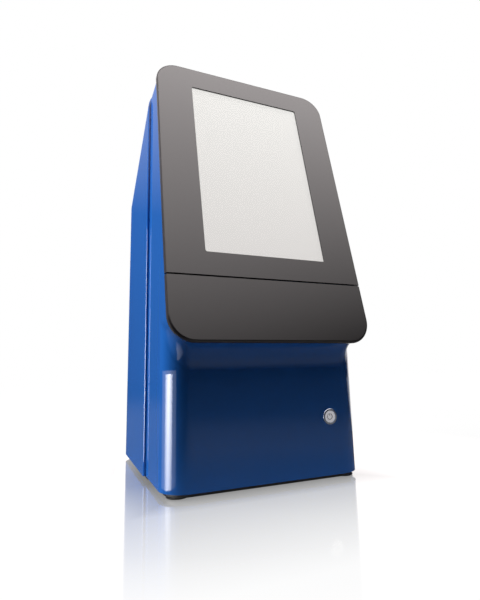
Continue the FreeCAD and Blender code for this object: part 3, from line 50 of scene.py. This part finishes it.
class Wire:
    # One output socket, so that shader maths reads as plain expressions
    def __init__(self, tree, socket):
        self.tree = tree
        self.socket = socket

    def maths(self, operation, other, flipped=False):
        first, second = (other, self) if flipped else (self, other)
        return self.tree.add("Math", {"operation": operation}, {0: first, 1: second})

    def __add__(self, other):
        return self.maths("ADD", other)

    def __radd__(self, other):
        return self.maths("ADD", other, True)

    def __sub__(self, other):
        return self.maths("SUBTRACT", other)

    def __rsub__(self, other):
        return self.maths("SUBTRACT", other, True)

    def __mul__(self, other):
        return self.maths("MULTIPLY", other)

    def __rmul__(self, other):
        return self.maths("MULTIPLY", other, True)

    def __gt__(self, other):
        return self.maths("GREATER_THAN", other)

    def __pow__(self, other):
        return self.maths("POWER", other)

    def __abs__(self):
        return self.tree.add("Math", {"operation": "ABSOLUTE"}, {0: self})

    def larger(self, other):
        return self.maths("MAXIMUM", other)


class Tree:
    # The node tree of a material or of the world
    def __init__(self, owner):
        owner.use_nodes = True
        self.nodes = owner.node_tree.nodes
        self.links = owner.node_tree.links
        self.nodes.clear()

    def add(self, kind, settings=None, sockets=None, output=0):
        node = self.nodes.new("ShaderNode" + kind)
        for key, value in (settings or {}).items():
            if key == "stops":
                setStops(node.color_ramp, value)
            else:
                setattr(node, key, value)
        for key, value in (sockets or {}).items():
            if isinstance(value, Wire):
                self.links.new(value.socket, node.inputs[key])
            else:
                node.inputs[key].default_value = value
        return Wire(self, node.outputs[output]) if node.outputs else None

    # Where each point is on its own piece, in metres, as laid out in the CAD
    def place(self):
        return self.add("TexCoord", output=3)

    # Several outputs of the node that a wire comes from
    def outputs(self, wire, names):
        return [Wire(self, wire.socket.node.outputs[name]) for name in names]

    def parts(self, vector, axes):
        return self.outputs(self.add("SeparateXYZ", None, {0: vector}), axes)

    def stretched(self, vector, scale):
        return self.add("Mapping", None, {"Vector": vector, "Scale": scale})

    def noise(self, vector, scale, detail=2.0, roughness=0.5):
        return self.add("TexNoise", None, {"Vector": vector, "Scale": scale, "Detail": detail,
                                           "Roughness": roughness})

    def cells(self, vector, scale):
        return self.add("TexVoronoi", None, {"Vector": vector, "Scale": scale})

    def ramp(self, value, stops):
        return self.add("ValToRGB", {"stops": stops}, {0: value})

    def between(self, value, low, high, outLow, outHigh):
        return self.add("MapRange", {"clamp": True}, {0: value, 1: low, 2: high, 3: outLow, 4: outHigh})

    def blend(self, factor, first, second, how="MIX"):
        return self.add("Mix", {"data_type": "RGBA", "blend_type": how}, {0: factor, 6: first, 7: second}, 2)

    # A colour that wanders between two shares of itself
    def wander(self, factor, colour, shares):
        return self.blend(factor, tint(colour, shares[0]), tint(colour, shares[1]))

    # Roughness from a noise. The noise keeps to its middle, so low to high is spread over the whole span
    def rough(self, noise, span, low=0.3, high=0.7):
        return self.between(noise, low, high, *span)

    def bump(self, height, strength, distance):
        return self.add("Bump", None, {"Height": height, "Strength": strength, "Distance": distance})


def setStops(ramp, stops):
    while len(ramp.elements) > 1:
        ramp.elements.remove(ramp.elements[-1])
    for i, (position, colour) in enumerate(stops):
        element = ramp.elements[0] if i == 0 else ramp.elements.new(position)
        element.position = position
        element.color = colour


def grey(value):
    return (value, value, value, 1)


def tint(colour, share):
    return tuple(min(1, part * share) for part in colour[:3]) + (1,)


# A material whose surface is one principled shader. The values may be wires of the tree
def newMaterial(name, fill):
    material = bpy.data.materials.new(name)
    tree = Tree(material)
    surface = tree.add("BsdfPrincipled", None, fill(tree))
    tree.add("OutputMaterial", None, {"Surface": surface})
    return material


# Camera

# Right, up and ahead are the camera's own directions, and the lens and the sensor are in mm
cameraSet = {
    "place": (-0.1284371, -0.3511468, 0.0744855),
    "right": (0.92170, -0.38697, -0.02679),
    "up": (-0.04264, -0.16972, 0.98456),
    "ahead": (0.38554, 0.90633, 0.17293),
    "lens": 25.4606,
    "sensor": 36,
    "clip": (0.01, 50),
    "shiftX": -0.014867,
    "shiftY": -0.0003,
}


def makeCamera():
    data = bpy.data.cameras.new("camera")
    data.sensor_width = cameraSet["sensor"]
    data.lens = cameraSet["lens"]
    data.shift_x = cameraSet["shiftX"]
    data.shift_y = cameraSet["shiftY"]
    data.clip_start, data.clip_end = cameraSet["clip"]
    camera = bpy.data.objects.new("camera", data)
    bpy.context.scene.collection.objects.link(camera)
    right, up, ahead = (Vector(cameraSet[key]).normalized() for key in ("right", "up", "ahead"))
    turn = Matrix((right, up, -ahead)).transposed()
    camera.matrix_world = Matrix.Translation(cameraSet["place"]) @ turn.to_4x4()
    bpy.context.scene.camera = camera


makeCamera()
bpy.context.scene.view_settings.view_transform = "Standard"
print("camera set")


# Studio: floor, backdrop light and lamps

# The camera sees a white world. Each edge is where a light begins and where it is full
worldSet = {
    "ambient": 0.047,  # what matt surfaces see all round
    "room": 0.025,  # what gloss sees in front of and beside the object
    "backdrop": 0.95,  # what gloss sees far behind on the right
    "backdropWay": (0.581, 0.771, 0.26),
    "backdropEdge": (0.76, 0.84),
    "ceiling": 5.4,  # a wide soft light overhead, seen in the tilted panel
    "ceilingEdge": (0.36, 0.90),
    "ceilingFront": (0.05, -0.40),  # it is stronger over the front of the object
    "ceilingBehind": 0.16,
    "warmth": (1.0, 0.935, 0.93),  # the tint of what gloss sees of the room
}


def makeWorld():
    world = bpy.data.worlds.new("studio")
    bpy.context.scene.world = world
    tree = Tree(world)
    way = tree.add("TexCoord")
    along = tree.add("VectorMath", {"operation": "DOT_PRODUCT"}, {0: way, 1: worldSet["backdropWay"]}, 1)
    behind = tree.between(along, *worldSet["backdropEdge"], 0, 1)
    y, z = tree.parts(way, "YZ")
    over = tree.between(z, *worldSet["ceilingEdge"], 0, 1)
    over = over * tree.between(y, *worldSet["ceilingFront"], worldSet["ceilingBehind"], 1)
    gloss = worldSet["room"] + worldSet["backdrop"] * behind + worldSet["ceiling"] * over
    isCamera, isGlossy, isThrough = tree.outputs(
        tree.add("LightPath"), ("Is Camera Ray", "Is Glossy Ray", "Is Transmission Ray"))
    white = isCamera + isThrough - isCamera * isThrough
    lit = (1 - white) * (gloss * isGlossy + worldSet["ambient"] * (1 - isGlossy)) + white
    colour = tree.blend(isGlossy, grey(1), (*worldSet["warmth"], 1))
    light = tree.add("Background", None, {"Color": colour, "Strength": lit})
    tree.add("OutputWorld", None, {"Surface": light})


# Distances on the floor are in metres from the middle of the object
floorSet = {
    "half": 6.0,
    "seen": (0.97, 1.0),  # glow that the camera sees near and far, so that the bare floor is white
    "seenReach": (0.5, 1.2),
    "ahead": ((0.15, 0.14), (0.24, 0.25), (0.38, 0.22), (0.60, 0.05)),  # what gloss sees, by distance
    "beside": 0.02,
    "bright": 0.85,  # far back on the right, seen along the right edge
    "brightX": (0.12, 0.28),
    "brightY": (0.02, 0.20),
    "footprint": (0.070, 0.088),  # half the object's width and depth where it meets the floor
    "footprintY": 0.010,
    # Painted shadow: by this share the floor that the camera sees is made darker round the object's footprint
    "paintedContactShadow": 0.42,  # how much darker the floor is there
    "contactReach": (0.0, 0.026),
    "contactBack": (0.0, 0.06),
    "sideEdge": (-0.06, 0.07),  # the corner between side and front sees a dark floor
    "frontEdge": (-0.12, -0.02),
    "paint": 0.05,  # the little that matt light and shade show
    "mirrorEdge": (-0.20, -0.03),  # the polish fades towards the camera
    "mirrorShare": (0.06, 0.66),
    "mirrorReach": (0.18, 0.29),
    "mirrorLeft": (-0.097, -0.088),  # to the left of the object, along a slanted edge, it ends
    "mirrorSlant": 0.116,
    "mirrorBehind": (0.08, 0.10),
    "mirrorRough": 0.07,
}


def makeFloor():
    mesh = bpy.data.meshes.new("floor")
    shape = bmesh.new()
    half = floorSet["half"]
    corners = [shape.verts.new((x * half, y * half, 0)) for x, y in ((-1, -1), (1, -1), (1, 1), (-1, 1))]
    shape.faces.new(corners)
    shape.to_mesh(mesh)
    shape.free()
    floor = bpy.data.objects.new("floor", mesh)
    bpy.context.scene.collection.objects.link(floor)
    material = bpy.data.materials.new("polishedFloor")
    tree = Tree(material)
    where = tree.place()
    x, y = tree.parts(where, "XY")
    away = tree.add("VectorMath", {"operation": "LENGTH"}, {0: where}, 1)
    ahead = tree.ramp(away, [(reach, grey(value)) for reach, value in floorSet["ahead"]])
    side = tree.between(y, *floorSet["sideEdge"], 0, 1)
    front = tree.between(x, *floorSet["frontEdge"], 0, 1)
    glossSees = ahead * front * (1 - side) + floorSet["beside"] * side
    bright = tree.between(x, *floorSet["brightX"], 0, 1) * tree.between(y, *floorSet["brightY"], 0, 1)
    glossSees = glossSees * (1 - bright) + floorSet["bright"] * bright
    # A painted contact shadow: the floor is darkened round the object's footprint, fading over a few
    # centimetres
    halfWidth, halfDepth = floorSet["footprint"]
    gap = (abs(x) - halfWidth).larger(abs(y - floorSet["footprintY"]) - halfDepth)
    paintedContactShadow = tree.between(gap, *floorSet["contactReach"], floorSet["paintedContactShadow"], 0)
    paintedContactShadow = paintedContactShadow * tree.between(y, *floorSet["contactBack"], 1, 0)
    isCamera, isGlossy = tree.outputs(tree.add("LightPath"), ("Is Camera Ray", "Is Glossy Ray"))
    seen = tree.between(away, *floorSet["seenReach"], *floorSet["seen"])
    # The camera's view of the floor carries the painted contact shadow
    glow = isCamera * seen * (1 - paintedContactShadow) + isGlossy * glossSees
    light = tree.add("Emission", None, {"Color": tree.blend(glow, grey(0), grey(1)), "Strength": 1.0})
    paint = tree.add("BsdfDiffuse", None, {"Color": grey(floorSet["paint"])})
    body = tree.add("AddShader", None, {0: light, 1: paint})
    polish = tree.add("BsdfGlossy", None, {"Color": grey(1), "Roughness": floorSet["mirrorRough"]})
    share = tree.between(y, *floorSet["mirrorEdge"], *floorSet["mirrorShare"])
    share = share * tree.between(away, *floorSet["mirrorReach"], 1, 0)
    slant = x - y * floorSet["mirrorSlant"]
    share = share * tree.between(slant, *floorSet["mirrorLeft"], 0, 1) * (1 - isGlossy)
    share = share * tree.between(y, *floorSet["mirrorBehind"], 1, 0)
    surface = tree.add("MixShader", None, {0: share, 1: body, 2: polish})
    tree.add("OutputMaterial", None, {"Surface": surface})
    mesh.materials.append(material)


# Each lamp: where it stands, what it looks at, its width and height, its power in watts, who sees it, and
# over how many degrees it shines. The strips and the halo make the highlights on the corner and on the seam
lampSet = {
    "keyLeft": {"place": (-0.75, 0.30, 0.62), "aim": (-0.07, 0.02, 0.20), "size": (0.55, 0.5), "power": 19.2,
                "glossy": False, "diffuse": True},
    "cornerStrip": {"place": (-0.092, -0.0772, 0.038), "aim": (-0.07, -0.0772, 0.038), "size": (0.021, 0.076),
                    "power": 0.0070, "glossy": True, "diffuse": False, "spread": 50},
    "cornerHalo": {"place": (-0.093, -0.0772, 0.039), "aim": (-0.07, -0.0772, 0.039), "size": (0.050, 0.079),
                   "power": 0.0090, "glossy": True, "diffuse": False, "spread": 100},
    "seamStrip": {"place": (-0.096, -0.0195, 0.105), "aim": (-0.0745, -0.0195, 0.105), "size": (0.030, 0.19),
                  "power": 0.030, "glossy": True, "diffuse": False, "spread": 60},
    "overhead": {"place": (0.33, -0.62, 0.98), "aim": (0.0, -0.08, 0.23), "size": (0.75, 0.42), "power": 0.76,
                 "glossy": False, "diffuse": True},
    "backFill": {"place": (0.5, 0.85, 0.75), "aim": (0.0, 0.05, 0.18), "size": (1.4, 1.4), "power": 1.5,
                 "glossy": True, "diffuse": True},
}


def makeLamp(name, values):
    data = bpy.data.lights.new(name, "AREA")
    data.shape = "RECTANGLE"
    data.size, data.size_y = values["size"]
    data.energy = values["power"]
    data.spread = math.radians(values.get("spread", 180))
    lamp = bpy.data.objects.new(name, data)
    bpy.context.scene.collection.objects.link(lamp)
    place = Vector(values["place"])
    lamp.location = place
    lamp.rotation_euler = (Vector(values["aim"]) - place).to_track_quat("-Z", "Y").to_euler()
    lamp.visible_camera = False
    lamp.visible_glossy = values["glossy"]
    lamp.visible_diffuse = values["diffuse"]


makeWorld()
makeFloor()
for lampName, lampValues in lampSet.items():
    makeLamp(lampName, lampValues)
print("studio lit:", ", ".join(lampSet))


# Materials: one function for each finish, with its values in a dictionary above it. In those, shares say how
# far the colour wanders, rough is the range of roughness, and relief is the strength and depth of the bump

plasticIndex = 1.5

shellSet = {"colour": (0.015, 0.117, 0.44), "shares": (0.96, 1.04), "rough": (0.05, 0.09), "peelScale": 60,
            "relief": (0.006, 0.0004)}


def mouldedBlue(tree):
    where = tree.place()
    cloud = tree.noise(where, 9, 3)
    smear = tree.noise(tree.stretched(where, (1, 1, 0.35)), 30, 4)
    peel = tree.noise(where, shellSet["peelScale"], 1)
    return {
        "Base Color": tree.wander(cloud, shellSet["colour"], shellSet["shares"]),
        "Roughness": tree.rough(smear, shellSet["rough"], 0.35),
        "Normal": tree.bump(peel, *shellSet["relief"]),
        "IOR": plasticIndex,
    }


panelSet = {"colour": (0.050, 0.046, 0.050), "shares": (0.93, 1.07), "rough": (0.09, 0.14), "peelScale": 300,
            "relief": (0.02, 0.0003)}


def smokedPanel(tree):
    where = tree.place()
    cloud = tree.noise(where, 12, 3)
    smear = tree.noise(tree.stretched(where, (1, 1, 0.4)), 26, 4)
    peel = tree.noise(where, panelSet["peelScale"], 1)
    return {
        "Base Color": tree.wander(cloud, panelSet["colour"], panelSet["shares"]),
        "Roughness": tree.rough(smear, panelSet["rough"], 0.35),
        "Normal": tree.bump(peel, *panelSet["relief"]),
        "IOR": plasticIndex,
    }


# Coated glass reflects little, so its index is low
touchSet = {"colour": (0.97, 0.97, 0.96, 1), "rough": (0.0, 0.03), "index": 1.12}


def touchGlass(tree):
    smear = tree.noise(tree.place(), 34, 4)
    return {
        "Base Color": touchSet["colour"],
        "Roughness": tree.rough(smear, touchSet["rough"], 0.4, 0.75),
        "Transmission Weight": 1.0,
        "IOR": touchSet["index"],
    }


# The lit sheet's glow at its lower and its upper edge, whose heights are in metres
displaySet = {"heights": (0.153, 0.303), "bottom": (0.69, 0.67, 0.66, 1), "top": (0.83, 0.82, 0.80, 1),
              "cloud": (0.985, 1), "off": (0.02, 0.02, 0.02, 1), "rough": 0.6}


def litScreen(tree):
    where = tree.place()
    z, = tree.parts(where, "Z")
    height = tree.between(z, *displaySet["heights"], 0, 1)
    dim, full = displaySet["cloud"]
    cloud = tree.blend(tree.noise(where, 18, 2), grey(dim), grey(full))
    glow = tree.blend(height, displaySet["bottom"], displaySet["top"])
    return {
        "Base Color": displaySet["off"],
        "Roughness": displaySet["rough"],
        "Emission Color": tree.blend(1.0, glow, cloud, "MULTIPLY"),
        "Emission Strength": 1.0,
    }


# Fine moulded grain in a given colour
def grained(colour, rough, grain=1400, strength=0.12):
    def fill(tree):
        where = tree.place()
        cloud = tree.noise(where, 14, 3)
        pits = tree.noise(where, grain, 2, 0.6)
        return {
            "Base Color": tree.wander(cloud, colour, (0.86, 1.14)),
            "Roughness": tree.rough(pits, rough),
            "Normal": tree.bump(pits, strength, 0.0002),
            "IOR": plasticIndex,
        }
    return fill


rubberSet = {"dark": (0.014, 0.014, 0.015, 1), "pale": (0.035, 0.034, 0.034, 1), "rough": (0.7, 0.92),
             "relief": (0.3, 0.0003)}


def rubberPad(tree):
    crumb = tree.noise(tree.place(), 900, 3, 0.7)
    return {
        "Base Color": tree.blend(crumb, rubberSet["dark"], rubberSet["pale"]),
        "Roughness": tree.rough(crumb, rubberSet["rough"]),
        "Normal": tree.bump(crumb, *rubberSet["relief"]),
    }


# Metal with a grain that runs along one axis
def brushed(colour, run, rough):
    def fill(tree):
        where = tree.place()
        streaks = tree.noise(tree.stretched(where, run), 60, 5, 0.65)
        cloud = tree.noise(where, 16, 3)
        return {
            "Base Color": tree.wander(cloud, colour, (0.92, 1.06)),
            "Metallic": 1.0,
            "Roughness": tree.rough(streaks, rough),
            "Normal": tree.bump(streaks, 0.06, 0.00015),
        }
    return fill


# A milled block with a black coat, and the cutter's passes across it
milledSet = {"dark": (0.018, 0.018, 0.02, 1), "pale": (0.045, 0.045, 0.048, 1), "metal": 0.6,
             "rough": (0.34, 0.52), "relief": (0.08, 0.00015)}


def milledBlock(tree):
    where = tree.place()
    passes = tree.noise(tree.stretched(where, (1, 14, 14)), 40, 4, 0.6)
    specks = tree.noise(where, 2200, 2)
    return {
        "Base Color": tree.blend(specks, milledSet["dark"], milledSet["pale"]),
        "Metallic": milledSet["metal"],
        "Roughness": tree.rough(passes, milledSet["rough"]),
        "Normal": tree.bump(passes, *milledSet["relief"]),
    }


screwSet = {"zinc": (0.55, 0.56, 0.57, 1), "yellowed": (0.72, 0.71, 0.66, 1), "rough": (0.22, 0.4)}


def platedScrew(tree):
    cloud = tree.noise(tree.place(), 500, 3)
    return {
        "Base Color": tree.blend(cloud, screwSet["zinc"], screwSet["yellowed"]),
        "Metallic": 1.0,
        "Roughness": tree.rough(cloud, screwSet["rough"]),
    }


def polished(colour, rough=(0.05, 0.14)):
    def fill(tree):
        wipe = tree.noise(tree.stretched(tree.place(), (1, 1, 0.3)), 240, 4)
        return {
            "Base Color": tree.wander(wipe, colour, (0.95, 1.03)),
            "Metallic": 1.0,
            "Roughness": tree.rough(wipe, rough, 0.35),
        }
    return fill


boardSet = {"maskDark": (0.008, 0.085, 0.032, 1), "maskPale": (0.014, 0.13, 0.05, 1),
            "copper": (0.03, 0.22, 0.09, 1), "pad": (0.62, 0.56, 0.38, 1), "padScale": 260,
            "padEdge": (0.10, 0.13), "rough": (0.22, 0.36), "relief": (0.25, 0.0001)}

# The bricks' joints stand for the copper runs
runSet = {"Scale": 420.0, "Mortar Size": 0.016, "Mortar Smooth": 0.1, "Brick Width": 0.9, "Row Height": 0.5,
          "Color1": grey(0), "Color2": grey(0), "Mortar": grey(1)}


# Laminate under solder mask, with copper runs that show as slightly paler lines
def circuitBoard(tree):
    where = tree.place()
    runs = tree.add("TexBrick", {"offset": 0.37, "offset_frequency": 3}, {"Vector": where, **runSet})
    weave = tree.noise(where, 1200, 2)
    board = tree.blend(weave, boardSet["maskDark"], boardSet["maskPale"])
    pads = tree.between(tree.cells(where, boardSet["padScale"]), *boardSet["padEdge"], 1, 0)
    green = tree.blend(runs, board, boardSet["copper"])
    return {
        "Base Color": tree.blend(pads, green, boardSet["pad"]),
        "Roughness": tree.rough(weave, boardSet["rough"]),
        "Normal": tree.bump(runs, *boardSet["relief"]),
    }


lensSet = {"dull": (0.9, 0.9, 0.88, 1), "clear": (0.98, 0.98, 0.97, 1), "rough": (0.0, 0.06), "index": 1.46}


def lampGlass(tree):
    swirl = tree.noise(tree.place(), 300, 3)
    return {
        "Base Color": tree.blend(swirl, lensSet["dull"], lensSet["clear"]),
        "Roughness": tree.rough(swirl, lensSet["rough"]),
        "Transmission Weight": 1.0,
        "IOR": lensSet["index"],
    }


# The pore colour is painted shade: the holes between the strands are coloured dark for the shade inside them
foamSet = {"poreShade": (0.012, 0.012, 0.013, 1), "strand": (0.11, 0.11, 0.115, 1), "poreScale": 900,
           "poreEdge": (0.05, 0.55), "rough": 0.95, "relief": (0.8, 0.0006)}


def openFoam(tree):
    strands = tree.between(tree.cells(tree.place(), foamSet["poreScale"]), *foamSet["poreEdge"], 1, 0)
    return {
        "Base Color": tree.blend(strands, foamSet["poreShade"], foamSet["strand"]),
        "Roughness": foamSet["rough"],
        "Normal": tree.bump(strands, *foamSet["relief"]),
    }


paperSet = {"dark": (0.70, 0.69, 0.66, 1), "pale": (0.80, 0.79, 0.76, 1), "rough": (0.75, 0.9),
            "relief": (0.12, 0.0001)}


def paperWound(tree):
    fibres = tree.noise(tree.place(), 1600, 4, 0.7)
    return {
        "Base Color": tree.blend(fibres, paperSet["dark"], paperSet["pale"]),
        "Roughness": tree.rough(fibres, paperSet["rough"]),
        "Normal": tree.bump(fibres, *paperSet["relief"]),
    }


# x and z are the middle of the cap. The mark's ring is an inner and an outer radius, and its bar a half width
# and the heights where it starts and ends, all in metres
# glow is painted light, the cap's own glow though it is no lamp, and the mark's glow is the same painted
# light, fainter
buttonSet = {"colour": (0.68, 0.71, 0.78), "shares": (0.94, 1.06), "glow": (0.27, 0.265, 0.275, 1),
             "mark": (0.30, 0.29, 0.30, 1), "markPaintedGlow": (0.03, 0.03, 0.03, 1), "x": 0.0459, "z": 0.0432,
             "ring": (0.0017, 0.0023), "bar": 0.00032, "barEnds": (0.0006, 0.0022), "gap": 0.00075,
             "rough": (0.3, 0.42), "relief": (0.4, 0.0001)}


# Satin silver cap with the usual power mark on its face: a broken ring and a short bar. The cap also glows a
# little though it is no lamp: painted light, which lightens it where the lamps leave the lower face dark
def silverCap(tree):
    where = tree.place()
    x, z = tree.parts(where, "XZ")
    across = x - buttonSet["x"]
    up = z - buttonSet["z"]
    radius = (across * across + up * up) ** 0.5
    inner, outer = buttonSet["ring"]
    ring = (radius > inner) * (1 - (radius > outer))
    aside = abs(across)
    opening = (1 - (aside > buttonSet["gap"])) * (up > 0)
    foot, head = buttonSet["barEnds"]
    bar = (1 - (aside > buttonSet["bar"])) * (up > foot) * (1 - (up > head))
    mark = (ring * (1 - opening)).larger(bar)
    grain = tree.noise(where, 2400, 2)
    face = tree.wander(grain, buttonSet["colour"], buttonSet["shares"])
    return {
        "Base Color": tree.blend(mark, face, buttonSet["mark"]),
        # Painted light: the cap glows of its own, more faintly on the mark
        "Emission Color": tree.blend(mark, buttonSet["glow"], buttonSet["markPaintedGlow"]),
        "Emission Strength": 1.0,
        "Roughness": tree.rough(grain, buttonSet["rough"]),
        "Normal": tree.bump(mark, *buttonSet["relief"]),
    }


finishes = {
    "shell_blue": mouldedBlue,
    "panel_dark": smokedPanel,
    "cover_glass": touchGlass,
    "display_white": litScreen,
    "base_black": grained((0.022, 0.021, 0.022), (0.42, 0.6)),
    "foot_rubber": rubberPad,
    "tray_black": grained((0.028, 0.028, 0.031), (0.36, 0.52), 1700),
    "sheet_aluminium": brushed((0.72, 0.73, 0.74), (1, 14, 14), (0.28, 0.44)),
    "block_aluminium": milledBlock,
    "motor_steel": brushed((0.52, 0.53, 0.54), (10, 10, 1), (0.25, 0.4)),
    "bright_steel": polished((0.74, 0.74, 0.75)),
    "screw_steel": platedScrew,
    "bush_brass": polished((0.70, 0.52, 0.24), (0.12, 0.26)),
    "gear_nylon": grained((0.80, 0.78, 0.70), (0.34, 0.5), 1900, 0.05),
    "hub_plastic": grained((0.58, 0.58, 0.56), (0.3, 0.45), 2200, 0.05),
    "circuit_green": circuitBoard,
    "chip_black": grained((0.018, 0.018, 0.019), (0.4, 0.6), 2600, 0.08),
    "lamp_glass": lampGlass,
    "foam_grey": openFoam,
    "button_silver": silverCap,
    "ring_silver": polished((0.56, 0.60, 0.68), (0.12, 0.22)),
    "paper_white": paperWound,
    "roller_rubber": rubberPad,
}

materials = {name: newMaterial(name, fill) for name, fill in finishes.items()}
slotOf = {part["node"]: part["material_slot"] for part in frame["record"]["subparts"]}
for nodeName, node in frame["nodes"].items():
    if not node.material_slots:
        node.data.materials.append(None)
    for place in node.material_slots:
        place.material = materials[slotOf[nodeName]]
print("materials:", len(materials))


# Pieces that are new in the scene

# The panel's own frame: across, up the panel, and out of it
panelPlace = {"foot": (0, -0.1015, 0.0943), "run": 0.203 * 0.256, "rise": 0.3224 - 0.0943}


def panelFrame():
    up = Vector((0, panelPlace["run"], panelPlace["rise"])).normalized()
    across = Vector((1, 0, 0))
    turn = Matrix((across, up, across.cross(up))).transposed()
    return Matrix.Translation(panelPlace["foot"]) @ turn.to_4x4()


# The shape is laid out in the panel's frame
def newPiece(name, shape, slotName, body):
    mesh = bpy.data.meshes.new(name)
    bmesh.ops.recalc_face_normals(shape, faces=shape.faces)
    shape.to_mesh(mesh)
    shape.free()
    mesh.transform(panelFrame())
    mesh.materials.append(materials[slotName])
    piece = bpy.data.objects.new(name, mesh)
    bpy.context.scene.collection.objects.link(piece)
    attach(piece, body)
    return piece


def softEdges(piece, width):
    bevel = piece.modifiers.new("edges", "BEVEL")
    bevel.width = width
    bevel.segments = 2
    bevel.limit_method = "ANGLE"


# Adds a closed box between two corners to a mesh being built
def addBox(shape, low, high):
    made = bmesh.ops.create_cube(shape, size=1)
    middle = (Vector(low) + Vector(high)) / 2
    size = Vector(high) - Vector(low)
    bmesh.ops.scale(shape, vec=size, verts=made["verts"])
    bmesh.ops.translate(shape, vec=middle, verts=made["verts"])


# Front and back are depths behind the panel's face
displayPiece = {"half": 0.0498, "low": 0.0610, "high": 0.21693, "front": 0.0032, "back": 0.0095,
                "border": 0.0006, "edge": 0.0002, "floor": 0.0012, "sheet": 0.0009, "play": 0.0002}


# The display is a folded steel case, open at the front, round a lit sheet
def makeDisplay():
    values = displayPiece
    half, low, high = values["half"], values["low"], values["high"]
    border = values["border"]
    case = bmesh.new()
    outline = [(-half, low), (half, low), (half, high), (-half, high)]
    inside = [(-half + border, low + border), (half - border, low + border), (half - border, high - border),
              (-half + border, high - border)]
    rings = []
    for points, depth in ((outline, values["back"]), (outline, values["front"]), (inside, values["front"]),
                          (inside, values["back"] - values["floor"])):
        rings.append([case.verts.new((x, up, -depth)) for x, up in points])
    for first, second in zip(rings, rings[1:]):
        for i in range(4):
            case.faces.new((first[i], first[(i + 1) % 4], second[(i + 1) % 4], second[i]))
    case.faces.new(rings[0])
    case.faces.new(rings[-1])
    casePiece = newPiece("display_case", case, "motor_steel", "root")
    softEdges(casePiece, values["edge"])
    sheet = bmesh.new()
    gap = border + values["play"]
    face = -values["front"] - values["play"]
    addBox(sheet, (-half + gap, low + gap, face - values["sheet"]), (half - gap, high - gap, face))
    sheetPiece = newPiece("display_sheet", sheet, "display_white", "root")
    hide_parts("display_module")


makeDisplay()
print("display built")
